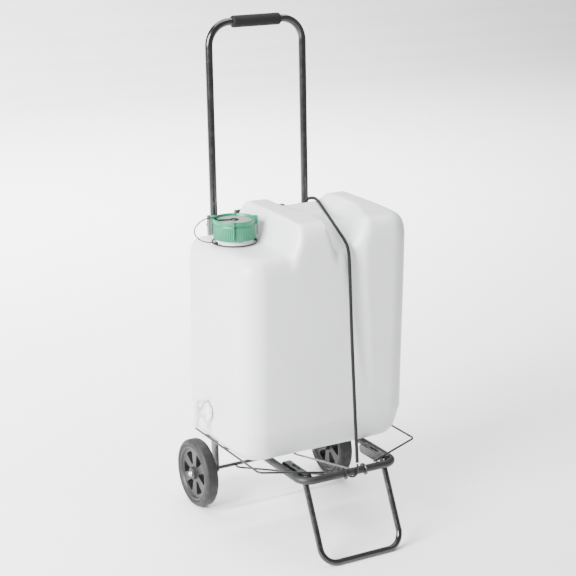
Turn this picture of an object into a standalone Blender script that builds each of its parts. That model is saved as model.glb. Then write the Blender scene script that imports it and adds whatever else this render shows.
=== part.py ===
"""Folding two-wheel trolley carrying a 35 litre translucent waste canister.

Every sub-part is one named object made of one closed solid.  All shapes are laid out in a
working frame (X along the axle, -Y to the front, Z up, floor at Z = 0, axle over Y = 0) and
moved by SHIFT at the end, so that the origin is under the middle of the bounding box.
"""

import math

import bmesh
import bpy
import numpy as np
from mathutils import Matrix, Vector
from mathutils.bvhtree import BVHTree

# ------------------------------------------------------------------ driving dimensions
SHIFT = Vector((0.0235, 0.1707, 0.0))
GAP = 0.0003

WHEEL_R = 0.075
WHEEL_X = 0.170
WHEEL_W = 0.031
AXLE_R = 0.004
AXLE_END = 0.1880

TUBE_X = 0.1115
HANDLE_R = 0.008
HANDLE_WALL = 0.0012
OUTER_R = 0.0095
OUTER_BORE = 0.00835
LEAN_DEG = 2.09
LEAN_Y0 = -0.0021
OUTER_BOTTOM = 0.138
OUTER_TOP = 0.636
HANDLE_BOTTOM = 0.560
HANDLE_TOP = 1.0452
HANDLE_BEND = 0.049
GRIP_HALF = 0.057
GRIP_R = 0.0127

PLATE_T = 0.003
PIVOT_Y = -0.026
PIVOT_Z = 0.170
PIVOT_R = 0.003
RAIL_X = 0.1115
RAIL_R = 0.008
RAIL_Z = 0.170
RAIL_BACK = -0.040
BAR_Y = -0.3548
BAR_BEND = 0.027
WIRE_R = 0.00225
RACK_X = 0.187
RACK_FRONT = -0.308
RACK_BACK = -0.018
RACK_Z = 0.1905
BAR_Z = 0.1808

LEG_X = 0.093
LEG_R = 0.0064
LEG_PIVOT_Y = -0.331
LEG_PIVOT_Z = 0.166
LEG_FOOT_Y = -0.410
LEG_BEND = 0.034

TANK_HX = 0.198
TANK_FRONT = -0.276
TANK_BACK = -0.0125
TANK_Z0 = 0.1849
ROOF_BLEND = 0.036
BASE_BLEND = 0.030
TANK_TOP = 0.680
TANK_SHOULDER = 0.618
TANK_WALL = 0.003
CANISTER_CELLS = (14, 9, 15)
INNER_CELLS = (16, 10, 17)
NECK_X = -0.1375
NECK_Y = -0.120
NECK_R = 0.0370
NECK_BORE = 0.0335
NECK_TOP = 0.6575
CAP_ANGLE = math.radians(-29.9)
TETHER_ANGLE = math.radians(162.0)
TAP_Y = -0.115
TAP_Z = 0.262
TAP_X = -0.2320

BUNGEE_R = 0.0035


# ------------------------------------------------------------------ materials
def material(name, colour, rough, metal=0.0, transmission=0.0):
    mat = bpy.data.materials.new(name)
    mat.use_nodes = True
    shader = mat.node_tree.nodes["Principled BSDF"]
    shader.inputs["Base Color"].default_value = (*colour, 1.0)
    shader.inputs["Roughness"].default_value = rough
    shader.inputs["Metallic"].default_value = metal
    shader.inputs["Transmission Weight"].default_value = transmission
    return mat


# ------------------------------------------------------------------ scene helpers
def clear_scene():
    for obj in list(bpy.data.objects):
        bpy.data.objects.remove(obj, do_unlink=True)


def add_object(name, bm, mat, origin=(0.0, 0.0, 0.0), sharp=35.0, matrix=None):
    """Turn a bmesh in the working frame into a named object with its origin on a joint axis."""
    if matrix is not None:
        bmesh.ops.transform(bm, matrix=matrix, verts=bm.verts)
    bmesh.ops.recalc_face_normals(bm, faces=bm.faces)
    origin = Vector(origin)
    bmesh.ops.translate(bm, vec=-origin, verts=bm.verts)
    mesh = bpy.data.meshes.new(name)
    bm.to_mesh(mesh)
    bm.free()
    for poly in mesh.polygons:
        poly.use_smooth = True
    mesh.set_sharp_from_angle(angle=math.radians(sharp))
    obj = bpy.data.objects.new(name, mesh)
    obj.location = origin + SHIFT
    if mat is not None:
        mesh.materials.append(mat)
    bpy.context.scene.collection.objects.link(obj)
    return obj


def temp_object(bm):
    bmesh.ops.recalc_face_normals(bm, faces=bm.faces)
    mesh = bpy.data.meshes.new("temp")
    bm.to_mesh(mesh)
    bm.free()
    obj = bpy.data.objects.new("temp", mesh)
    bpy.context.scene.collection.objects.link(obj)
    return obj


def combine(base, others, operation):
    """Boolean of bmeshes with the exact solver; returns a new bmesh."""
    target = temp_object(base)
    cutters = [temp_object(bm) for bm in others]
    for cutter in cutters:
        mod = target.modifiers.new("bool", "BOOLEAN")
        mod.operation = operation
        mod.solver = "EXACT"
        mod.object = cutter
    bpy.context.view_layer.update()
    graph = bpy.context.evaluated_depsgraph_get()
    mesh = bpy.data.meshes.new_from_object(target.evaluated_get(graph))
    result = bmesh.new()
    result.from_mesh(mesh)
    for obj in [target, *cutters]:
        bpy.data.objects.remove(obj, do_unlink=True)
    bmesh.ops.remove_doubles(result, verts=result.verts, dist=0.0000002)
    rims = [edge for edge in result.edges if edge.is_boundary]
    if rims:
        bmesh.ops.holes_fill(result, edges=rims, sides=4)
    return result


# ------------------------------------------------------------------ shape helpers
def fillet_path(points, radii, steps=6):
    """Polyline through points with each inner corner rounded to the given radius."""
    pts = [Vector(p) for p in points]
    out = [pts[0]]
    for i in range(1, len(pts) - 1):
        radius = radii[i - 1]
        a = (pts[i - 1] - pts[i]).normalized()
        b = (pts[i + 1] - pts[i]).normalized()
        angle = a.angle(b)
        if radius <= 0.0 or angle > math.pi - 1e-4:
            out.append(pts[i])
            continue
        reach = radius / math.tan(angle / 2.0)
        bisector = (a + b).normalized()
        centre = pts[i] + bisector * (radius / math.sin(angle / 2.0))
        start = pts[i] + a * reach - centre
        end = pts[i] + b * reach - centre
        turn = start.angle(end)
        for k in range(steps + 1):
            t = k / steps
            w0 = math.sin((1.0 - t) * turn) / math.sin(turn)
            w1 = math.sin(t * turn) / math.sin(turn)
            out.append(centre + start * w0 + end * w1)
    out.append(pts[-1])
    return out


def smooth_path(points, spacing):
    """Catmull-Rom curve through hand-chosen points, read at an even spacing."""
    pts = [Vector(p) for p in points]
    ext = [pts[0] * 2 - pts[1], *pts, pts[-1] * 2 - pts[-2]]
    fine = []
    for i in range(1, len(ext) - 2):
        p0, p1, p2, p3 = ext[i - 1 : i + 3]
        for k in range(24):
            t = k / 24
            fine.append(
                0.5
                * (
                    2 * p1
                    + (p2 - p0) * t
                    + (2 * p0 - 5 * p1 + 4 * p2 - p3) * t * t
                    + (3 * p1 - p0 - 3 * p2 + p3) * t * t * t
                )
            )
    fine.append(pts[-1])
    total = sum((b - a).length for a, b in zip(fine, fine[1:]))
    count = max(2, round(total / spacing))
    out = [fine[0]]
    walked = 0.0
    for a, b in zip(fine, fine[1:]):
        step = (b - a).length
        while len(out) < count and walked + step >= len(out) * total / count:
            want = len(out) * total / count - walked
            out.append(a.lerp(b, want / step))
        walked += step
    out.append(fine[-1])
    return out


def ring_frames(path, closed=False):
    pts = [Vector(p) for p in path]
    n = len(pts)
    tangents = []
    for i in range(n):
        before = pts[i - 1] if (i > 0 or closed) else pts[i]
        after = pts[(i + 1) % n] if (i < n - 1 or closed) else pts[i]
        fore = (after - pts[i]).normalized() if after != pts[i] else Vector()
        back = (pts[i] - before).normalized() if before != pts[i] else Vector()
        tangents.append((fore + back).normalized())
    helper = Vector((0, 0, 1)) if abs(tangents[0].z) < 0.9 else Vector((1, 0, 0))
    normal = tangents[0].cross(helper).normalized()
    frames = []
    for i in range(n):
        if i:
            normal = tangents[i - 1].rotation_difference(tangents[i]) @ normal
        normal = (normal - tangents[i] * normal.dot(tangents[i])).normalized()
        frames.append((pts[i], normal, tangents[i].cross(normal)))
    return frames


def sweep(path, r_out, r_in=0.0, sides=16, radii=None, closed=False):
    """Round rod or tube along a path; hollow and open at both ends when r_in is given."""
    bm = bmesh.new()
    frames = ring_frames(path, closed)

    def rings(radius, scale=True):
        made = []
        for i, (centre, u, v) in enumerate(frames):
            r = radii[i] if (radii and scale) else radius
            made.append(
                [
                    bm.verts.new(
                        centre
                        + u * (r * math.cos(2 * math.pi * k / sides))
                        + v * (r * math.sin(2 * math.pi * k / sides))
                    )
                    for k in range(sides)
                ]
            )
        return made

    def skin(made):
        count = len(made)
        for i in range(count if closed else count - 1):
            a, b = made[i], made[(i + 1) % count]
            for k in range(sides):
                m = (k + 1) % sides
                bm.faces.new((a[k], a[m], b[m], b[k]))

    outer = rings(r_out)
    skin(outer)
    if r_in > 0.0:
        inner = rings(r_in, False)
        skin(inner)
        for a, b in ((outer[0], inner[0]), (outer[-1], inner[-1])):
            for k in range(sides):
                m = (k + 1) % sides
                bm.faces.new((a[k], a[m], b[m], b[k]))
    elif not closed:
        bm.faces.new(outer[0])
        bm.faces.new(outer[-1])
    return bm


def lathe(profile, steps=32, start=0.0):
    """Closed (r, z) loop turned about Z; points with r = 0 become poles."""
    bm = bmesh.new()
    columns = []
    for r, z in profile:
        if r <= 1e-9:
            columns.append([bm.verts.new((0, 0, z))])
        else:
            columns.append(
                [
                    bm.verts.new(
                        (
                            r * math.cos(start + 2 * math.pi * k / steps),
                            r * math.sin(start + 2 * math.pi * k / steps),
                            z,
                        )
                    )
                    for k in range(steps)
                ]
            )
    count = len(columns)
    for i in range(count):
        a, b = columns[i], columns[(i + 1) % count]
        if len(a) == 1 and len(b) == 1:
            continue
        for k in range(steps):
            m = (k + 1) % steps
            if len(a) == 1:
                bm.faces.new((a[0], b[m], b[k]))
            elif len(b) == 1:
                bm.faces.new((a[k], a[m], b[0]))
            else:
                bm.faces.new((a[k], a[m], b[m], b[k]))
    return bm


def prism(outline, low, high, bevel=0.0):
    """Extrude an XY outline between two heights; the long edges of both ends are bevelled."""
    bm = bmesh.new()
    bottom = [bm.verts.new((x, y, low)) for x, y in outline]
    top = [bm.verts.new((x, y, high)) for x, y in outline]
    count = len(outline)
    bm.faces.new(bottom)
    bm.faces.new(top)
    for i in range(count):
        j = (i + 1) % count
        bm.faces.new((bottom[i], bottom[j], top[j], top[i]))
    if bevel > 0.0:
        bm.edges.ensure_lookup_table()
        ends = [e for e in bm.edges if abs(e.verts[0].co.z - e.verts[1].co.z) < 1e-9]
        bmesh.ops.bevel(bm, geom=ends, offset=bevel, segments=1, affect="EDGES", profile=0.5)
    return bm


def rounded_rect(w, h, r, steps=3, centre=(0.0, 0.0)):
    out = []
    for cx, cy, start in (
        (w / 2 - r, h / 2 - r, 0.0),
        (-w / 2 + r, h / 2 - r, 90.0),
        (-w / 2 + r, -h / 2 + r, 180.0),
        (w / 2 - r, -h / 2 + r, 270.0),
    ):
        for k in range(steps + 1):
            a = math.radians(start + 90.0 * k / steps)
            out.append((centre[0] + cx + r * math.cos(a), centre[1] + cy + r * math.sin(a)))
    return out


def hull_outline(circles, steps=10):
    """Convex outline round a list of (x, y, r) discs."""
    pts = []
    for x, y, r in circles:
        for k in range(steps * 2):
            a = math.pi * k / steps
            pts.append((x + r * math.cos(a), y + r * math.sin(a)))
    pts = sorted(set(pts))

    def half(seq):
        chain = []
        for p in seq:
            while len(chain) > 1:
                (ax, ay), (bx, by) = chain[-2], chain[-1]
                if (bx - ax) * (p[1] - ay) - (by - ay) * (p[0] - ax) > 1e-12:
                    break
                chain.pop()
            chain.append(p)
        return chain

    low, high = half(pts), half(reversed(pts))
    return low[:-1] + high[:-1]


def disc(radius, low, high, steps=24, chamfer=0.0, bore=0.0):
    """Round pin or ring about Z with chamfered outer rims."""
    c = chamfer
    outside = [(radius - c, low), (radius, low + c), (radius, high - c), (radius - c, high)]
    if c <= 0.0:
        outside = [(radius, low), (radius, high)]
    if bore > 0.0:
        return lathe([(bore, low), *outside, (bore, high)], steps)
    return lathe([(0.0, low), *outside, (0.0, high)], steps)


def along_x(x=0.0, y=0.0, z=0.0, flip=False):
    """Placement that lays the local Z axis along X (or -X when flipped)."""
    turn = Matrix.Rotation(math.radians(-90.0 if flip else 90.0), 4, "Y")
    return Matrix.Translation((x, y, z)) @ turn


def yz_plate(outline, x_low, x_high, bevel=0.0):
    """Plate whose outline is given as (y, z), lying between two X values."""
    bm = prism(outline, x_low, x_high, bevel)
    turn = Matrix(((0, 0, 1, 0), (1, 0, 0, 0), (0, 1, 0, 0), (0, 0, 0, 1)))
    bmesh.ops.transform(bm, matrix=turn, verts=bm.verts)
    return bm


def moved(bm, matrix):
    bmesh.ops.transform(bm, matrix=matrix, verts=bm.verts)
    return bm


LEAN = Matrix.Translation((0, LEAN_Y0, 0)) @ Matrix.Rotation(math.radians(-LEAN_DEG), 4, "X")


# ------------------------------------------------------------------ canister surface
def smooth_max(a, b, k):
    h = np.maximum(k - np.abs(a - b), 0.0) / k
    return np.maximum(a, b) + h * h * k * 0.25


def ease(x, low, high):
    t = np.clip((x - low) / (high - low), 0.0, 1.0)
    return t * t * (3.0 - 2.0 * t)


def top_height(x, y):
    """Height of the canister's upper face: shoulder, two humps, grip bar, finger recess."""
    top = TANK_TOP - 0.004 * ease(-y, 0.15, 0.27) - 0.005 * ease(x, 0.05, 0.12)
    height = TANK_SHOULDER + (top - TANK_SHOULDER) * ease(x, -0.094, -0.062)
    reach = ease(-y, 0.08, 0.20)
    recess_left = ease(x, -0.024 + 0.014 * reach, 0.014 + 0.004 * reach)
    splay = ease(-y, 0.12, 0.27)
    recess_right = 1.0 - ease(x, 0.106 - 0.060 * splay, 0.138 - 0.038 * splay)
    inside = recess_left * recess_right
    front = ease(-y, 0.090, 0.122)
    floor = 0.636 - 0.016 * ease(-y, 0.14, 0.27)
    bar = 0.6605 - 0.006 * ease(-y, 0.045, 0.090)
    height = height * (1.0 - inside) + inside * (floor * front + bar * (1.0 - front))
    return height


def canister_field(p):
    """Signed field of the canister's outside, negative within."""
    x, y, z = p[:, 0], p[:, 1], p[:, 2]
    low = np.clip((0.252 - z) / 0.056, 0.0, 1.0)
    half_x = TANK_HX - 0.008 * low - 0.004 * ease(0.60 - z, 0.0, 0.35) * (x > 0)
    front = TANK_FRONT + 0.014 * low
    flute_x = 0.052 + 0.040 * np.clip((0.62 - z) / 0.30, 0.0, 1.0)
    flute_w = 0.030 - 0.018 * np.clip((0.62 - z) / 0.30, 0.0, 1.0)
    flute = np.clip(1.0 - ((x - flute_x) / flute_w) ** 2, 0.0, 1.0) ** 2
    flute = flute * 0.010 * np.clip((z - 0.30) / 0.32, 0.0, 1.0)
    front = front + flute * (y < -0.15)
    mid_y = (front + TANK_BACK) / 2.0
    half_y = (TANK_BACK - front) / 2.0
    radius = np.where(y < mid_y, np.where(x < 0.0, 0.052, 0.050), 0.028)
    qx = np.abs(x) - half_x + radius
    qy = np.abs(y - mid_y) - half_y + radius
    side = np.hypot(np.maximum(qx, 0.0), np.maximum(qy, 0.0))
    side = side + np.minimum(np.maximum(qx, qy), 0.0) - radius
    roof = (z - top_height(x, y)) * 0.75
    base = TANK_Z0 - z
    return smooth_max(smooth_max(side, roof, ROOF_BLEND), base, BASE_BLEND)


def canister_shell(inset, counts):
    """Closed quad mesh of the canister at a constant depth under its outside face."""
    centre = np.array([0.004, -0.145, 0.430])
    half = np.array([0.19, 0.125, 0.235])
    bm = bmesh.new()
    nx, ny, nz = counts
    grid = {}
    for ax, (na, nb) in ((0, (ny, nz)), (1, (nx, nz)), (2, (nx, ny))):
        others = [i for i in range(3) if i != ax]
        for sign in (-1, 1):
            for i in range(na + 1):
                for j in range(nb + 1):
                    key = [0, 0, 0]
                    key[ax] = (nx, ny, nz)[ax] if sign > 0 else 0
                    key[others[0]] = i
                    key[others[1]] = j
                    grid[tuple(key)] = None
    keys = list(grid)
    unit = np.array([[2.0 * k[i] / (nx, ny, nz)[i] - 1.0 for i in range(3)] for k in keys])
    unit = np.sign(unit) * np.abs(unit) ** 0.92
    direction = unit * half
    direction /= np.linalg.norm(direction, axis=1)[:, None]
    step = 0.0005

    def field(points):
        value = canister_field(points)
        if inset <= 0.0:
            return value
        grad = np.zeros_like(points)
        for axis in range(3):
            off = np.zeros(3)
            off[axis] = step
            grad[:, axis] = (
                canister_field(points + off) - canister_field(points - off)
            ) / (2 * step)
        return value / np.maximum(np.linalg.norm(grad, axis=1), 0.3) + inset

    near = np.zeros(len(keys))
    far = np.full(len(keys), 0.42)
    for _ in range(40):
        mid = (near + far) / 2.0
        out = field(centre + direction * mid[:, None]) > 0.0
        far = np.where(out, mid, far)
        near = np.where(out, near, mid)
    points = centre + direction * far[:, None]
    verts = {k: bm.verts.new(points[i]) for i, k in enumerate(keys)}
    for ax, (na, nb) in ((0, (ny, nz)), (1, (nx, nz)), (2, (nx, ny))):
        others = [i for i in range(3) if i != ax]
        for sign in (0, (nx, ny, nz)[ax]):
            for i in range(na):
                for j in range(nb):
                    corner = []
                    for di, dj in ((0, 0), (1, 0), (1, 1), (0, 1)):
                        key = [0, 0, 0]
                        key[ax] = sign
                        key[others[0]] = i + di
                        key[others[1]] = j + dj
                        corner.append(verts[tuple(key)])
                    bm.faces.new(corner)
    bmesh.ops.recalc_face_normals(bm, faces=bm.faces)
    bmesh.ops.triangulate(bm, faces=bm.faces)
    return bm


# ------------------------------------------------------------------ sub-assemblies
def build_frame(steel, plastic, zinc):
    for side, name in ((-1, "left"), (1, "right")):
        x = side * TUBE_X
        tube = sweep([(x, 0, OUTER_BOTTOM), (x, 0, OUTER_TOP)], OUTER_R, OUTER_BORE, 18)
        tube = moved(tube, LEAN)
        bolt_y = LEAN_Y0 + 0.156 * math.sin(math.radians(LEAN_DEG))
        hole = moved(disc(0.0028, -0.02, 0.02, 16), along_x(x, bolt_y, 0.156))
        tube = combine(tube, [hole], "DIFFERENCE")
        add_object(f"outer_tube_{name}", tube, steel)

        axle_hole = moved(disc(AXLE_R + GAP, -0.03, 0.03, 24), along_x(x, 0, WHEEL_R))
        pin_hole = moved(disc(PIVOT_R + GAP, -0.03, 0.03, 16), along_x(x, PIVOT_Y, PIVOT_Z))
        bolt_hole = moved(disc(0.0028, -0.03, 0.03, 16), along_x(x, bolt_y, 0.156))
        cheek = hull_outline(
            [(-0.0285, 0.170, 0.0105), (-0.0285, 0.1745, 0.0105), (0.0105, 0.198, 0.0065),
             (0.0120, 0.149, 0.0115), (0.004, 0.149, 0.0080)], 8
        )
        drop = hull_outline([(0.0, 0.0750, 0.0088), (0.0098, 0.150, 0.0138), (0.0098, 0.118, 0.0138)], 8)
        outer_a, outer_b = OUTER_R + 0.0005, OUTER_R + 0.0005 + PLATE_T
        if side < 0:
            spans = ((-outer_b, -outer_a), (outer_a, outer_b))
        else:
            spans = ((outer_a, outer_b), (-outer_b, -outer_a))
        outer = yz_plate(cheek, x + spans[0][0], x + spans[0][1])
        lower = yz_plate(drop, x + spans[0][0], x + spans[0][1])
        outer = combine(outer, [lower], "UNION")
        outer = combine(outer, [axle_hole, pin_hole, bolt_hole], "DIFFERENCE")
        add_object(f"axle_plate_{name}", outer, steel, sharp=30)

        pin_hole = moved(disc(PIVOT_R + GAP, -0.03, 0.03, 16), along_x(x, PIVOT_Y, PIVOT_Z))
        bolt_hole = moved(disc(0.0028, -0.03, 0.03, 16), along_x(x, bolt_y, 0.156))
        inner = yz_plate(cheek, x + spans[1][0], x + spans[1][1])
        inner = combine(inner, [pin_hole, bolt_hole], "DIFFERENCE")
        add_object(f"inner_plate_{name}", inner, steel, sharp=30)

        def stud(radius, head, reach, y, z):
            """Shank through both plates with a domed head at each end."""
            r, h = radius, head
            top = reach + 0.0022
            profile = [(0, -top), (h * 0.7, -top), (h, -reach - 0.0008), (h, -reach), (r, -reach),
                       (r, reach), (h, reach), (h, reach + 0.0008), (h * 0.7, top), (0, top)]
            return moved(lathe(profile, 12), along_x(x, y, z))

        add_object(
            f"pivot_pin_{name}",
            stud(PIVOT_R, 0.0055, outer_b + GAP, PIVOT_Y, PIVOT_Z),
            zinc, (x, PIVOT_Y, PIVOT_Z),
        )
        add_object(
            f"frame_rivet_{name}",
            stud(0.0025, 0.0046, outer_b + GAP, bolt_y, 0.156),
            zinc, (x, bolt_y, 0.156),
        )

        start = abs(x) + outer_b + GAP
        end = WHEEL_X - WHEEL_W / 2 - 0.0042
        spacer = disc(0.0070, start, end, 16, 0.0, AXLE_R + 0.00015)
        add_object(f"axle_spacer_{name}", moved(spacer, along_x(0, 0, WHEEL_R, side < 0)), plastic)

        cap = lathe(
            [(0, 0.1881), (0.0040, 0.1881), (0.0040, 0.1866), (0.0062, 0.1866), (0.0062, 0.1882),
             (0.0053, 0.1892), (0.0050, 0.1903), (0.0035, 0.1915), (0, 0.1919)], 16
        )
        add_object(f"axle_cap_{name}", moved(cap, along_x(0, 0, WHEEL_R, side < 0)), zinc)

    rod = disc(AXLE_R, -AXLE_END + 0.0003, AXLE_END - 0.0003, 24)
    for side in (-1, 1):
        neck = disc(0.0062, 0.18640, 0.1885, 20, 0.0, AXLE_R - 0.0004)
        rod = combine(rod, [moved(neck, Matrix.Scale(side, 4, (0, 0, 1)))], "DIFFERENCE")
    add_object("axle", moved(rod, along_x(0, 0, WHEEL_R)), steel)

    body = prism(rounded_rect(2 * TUBE_X, 0.0150, 0.004, 2), 0.6070, 0.6345)
    arch = prism(rounded_rect(0.120, 0.0120, 0.003, 2), 0.6300, 0.6465)
    parts = [arch]
    for side in (-1, 1):
        parts.append(
            moved(
                prism(hull_outline([(0.0, 0.0, 0.0116), (0.0, 0.0165, 0.0078)], 10), 0.5980, 0.6385),
                Matrix.Translation((side * TUBE_X, 0, 0)),
            )
        )
    hook_post = prism(rounded_rect(0.010, 0.020, 0.003, 2, (0.0, 0.0)), 0.6095, 0.6162)
    parts.append(moved(hook_post, Matrix.Translation((0.0780, -0.0130, 0))))
    bridge = combine(body, parts, "UNION")
    cuts = []
    for side in (-1, 1):
        x = side * TUBE_X
        cuts.append(moved(disc(OUTER_R + GAP, 0.590, OUTER_TOP + GAP, 24), Matrix.Translation((x, 0, 0))))
        cuts.append(moved(disc(HANDLE_R + 0.0004, 0.600, 0.645, 24), Matrix.Translation((x, 0, 0))))
        pocket = moved(disc(0.0052, 0.0140, 0.0300, 16), Matrix.Rotation(math.radians(-90), 4, "X"))
        cuts.append(moved(pocket, Matrix.Translation((x, 0, 0.618))))
    bridge = combine(bridge, cuts, "DIFFERENCE")
    add_object("top_bridge", moved(bridge, LEAN), plastic, sharp=30)

    for side, name in ((-1, "left"), (1, "right")):
        button = lathe(
            [(0, 0.0182), (0.0050, 0.0182), (0.0050, 0.0276), (0.0042, 0.0284), (0, 0.0287)], 20
        )
        button = moved(button, Matrix.Rotation(math.radians(-90), 4, "X"))
        button = moved(button, Matrix.Translation((side * TUBE_X, 0, 0.618)))
        centre = LEAN @ Vector((side * TUBE_X, 0.0245, 0.618))
        add_object(f"release_button_{name}", moved(button, LEAN), plastic, centre)


def build_wheels(plastic, tyre_mat):
    for side, name in ((-1, "left"), (1, "right")):
        half = WHEEL_W / 2
        tyre = lathe(
            [(0.0625, -half + 0.0010), (0.0665, -half), (0.0710, -half + 0.0012),
             (WHEEL_R - 0.0008, -half + 0.0050), (WHEEL_R, -half + 0.0075), (WHEEL_R, half - 0.0075),
             (WHEEL_R - 0.0008, half - 0.0050), (0.0710, half - 0.0012), (0.0665, half),
             (0.0625, half - 0.0010)], 36
        )
        inner = 0.0622
        rim = lathe(
            [(0.00413, -half - 0.0035), (0.0125, -half - 0.0035), (0.0140, -half + 0.0070),
             (0.0540, -half + 0.0060), (0.0565, -half + 0.0014), (inner, -half + 0.0030),
             (inner, half - 0.0030), (0.0565, half - 0.0014), (0.0540, half - 0.0060),
             (0.0140, half - 0.0070), (0.0125, half + 0.0006), (0.00413, half + 0.0006)], 36
        )
        pockets = []
        for k in range(6):
            angle = math.radians(60 * k + 30)
            outline = hull_outline([(0.0235, 0.0, 0.0042), (0.0435, 0.0085, 0.0042), (0.0435, -0.0085, 0.0042)], 3)
            block = prism(outline, -0.05, 0.05)
            block = moved(block, Matrix.Rotation(angle, 4, "Z"))
            pockets.append(block)
        rim = combine(rim, pockets, "DIFFERENCE")
        place = along_x(side * WHEEL_X, 0, WHEEL_R, side < 0)
        origin = (side * WHEEL_X, 0, WHEEL_R)
        add_object(f"wheel_tyre_{name}", moved(tyre, place), tyre_mat, origin)
        add_object(f"wheel_hub_{name}", moved(rim, place), plastic, origin, sharp=30)


def build_handle(steel, foam):
    path = fillet_path(
        [(-TUBE_X, 0, HANDLE_BOTTOM), (-TUBE_X, 0, HANDLE_TOP), (TUBE_X, 0, HANDLE_TOP),
         (TUBE_X, 0, HANDLE_BOTTOM)],
        [HANDLE_BEND, HANDLE_BEND], 5,
    )
    tube = sweep(path, HANDLE_R, HANDLE_R - HANDLE_WALL, 16)
    origin = LEAN @ Vector((0, 0, HANDLE_TOP))
    add_object("handle_tube", moved(tube, LEAN), steel, origin)
    half, r = GRIP_HALF, GRIP_R
    bore = HANDLE_R + GAP
    grip = lathe(
        [(bore, -half), (0.0100, -half), (r, -half + 0.0030), (r, half - 0.0030), (0.0100, half),
         (bore, half)], 20
    )
    place = LEAN @ along_x(0, 0, HANDLE_TOP)
    add_object("handle_grip", moved(grip, place), foam, origin)


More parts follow.
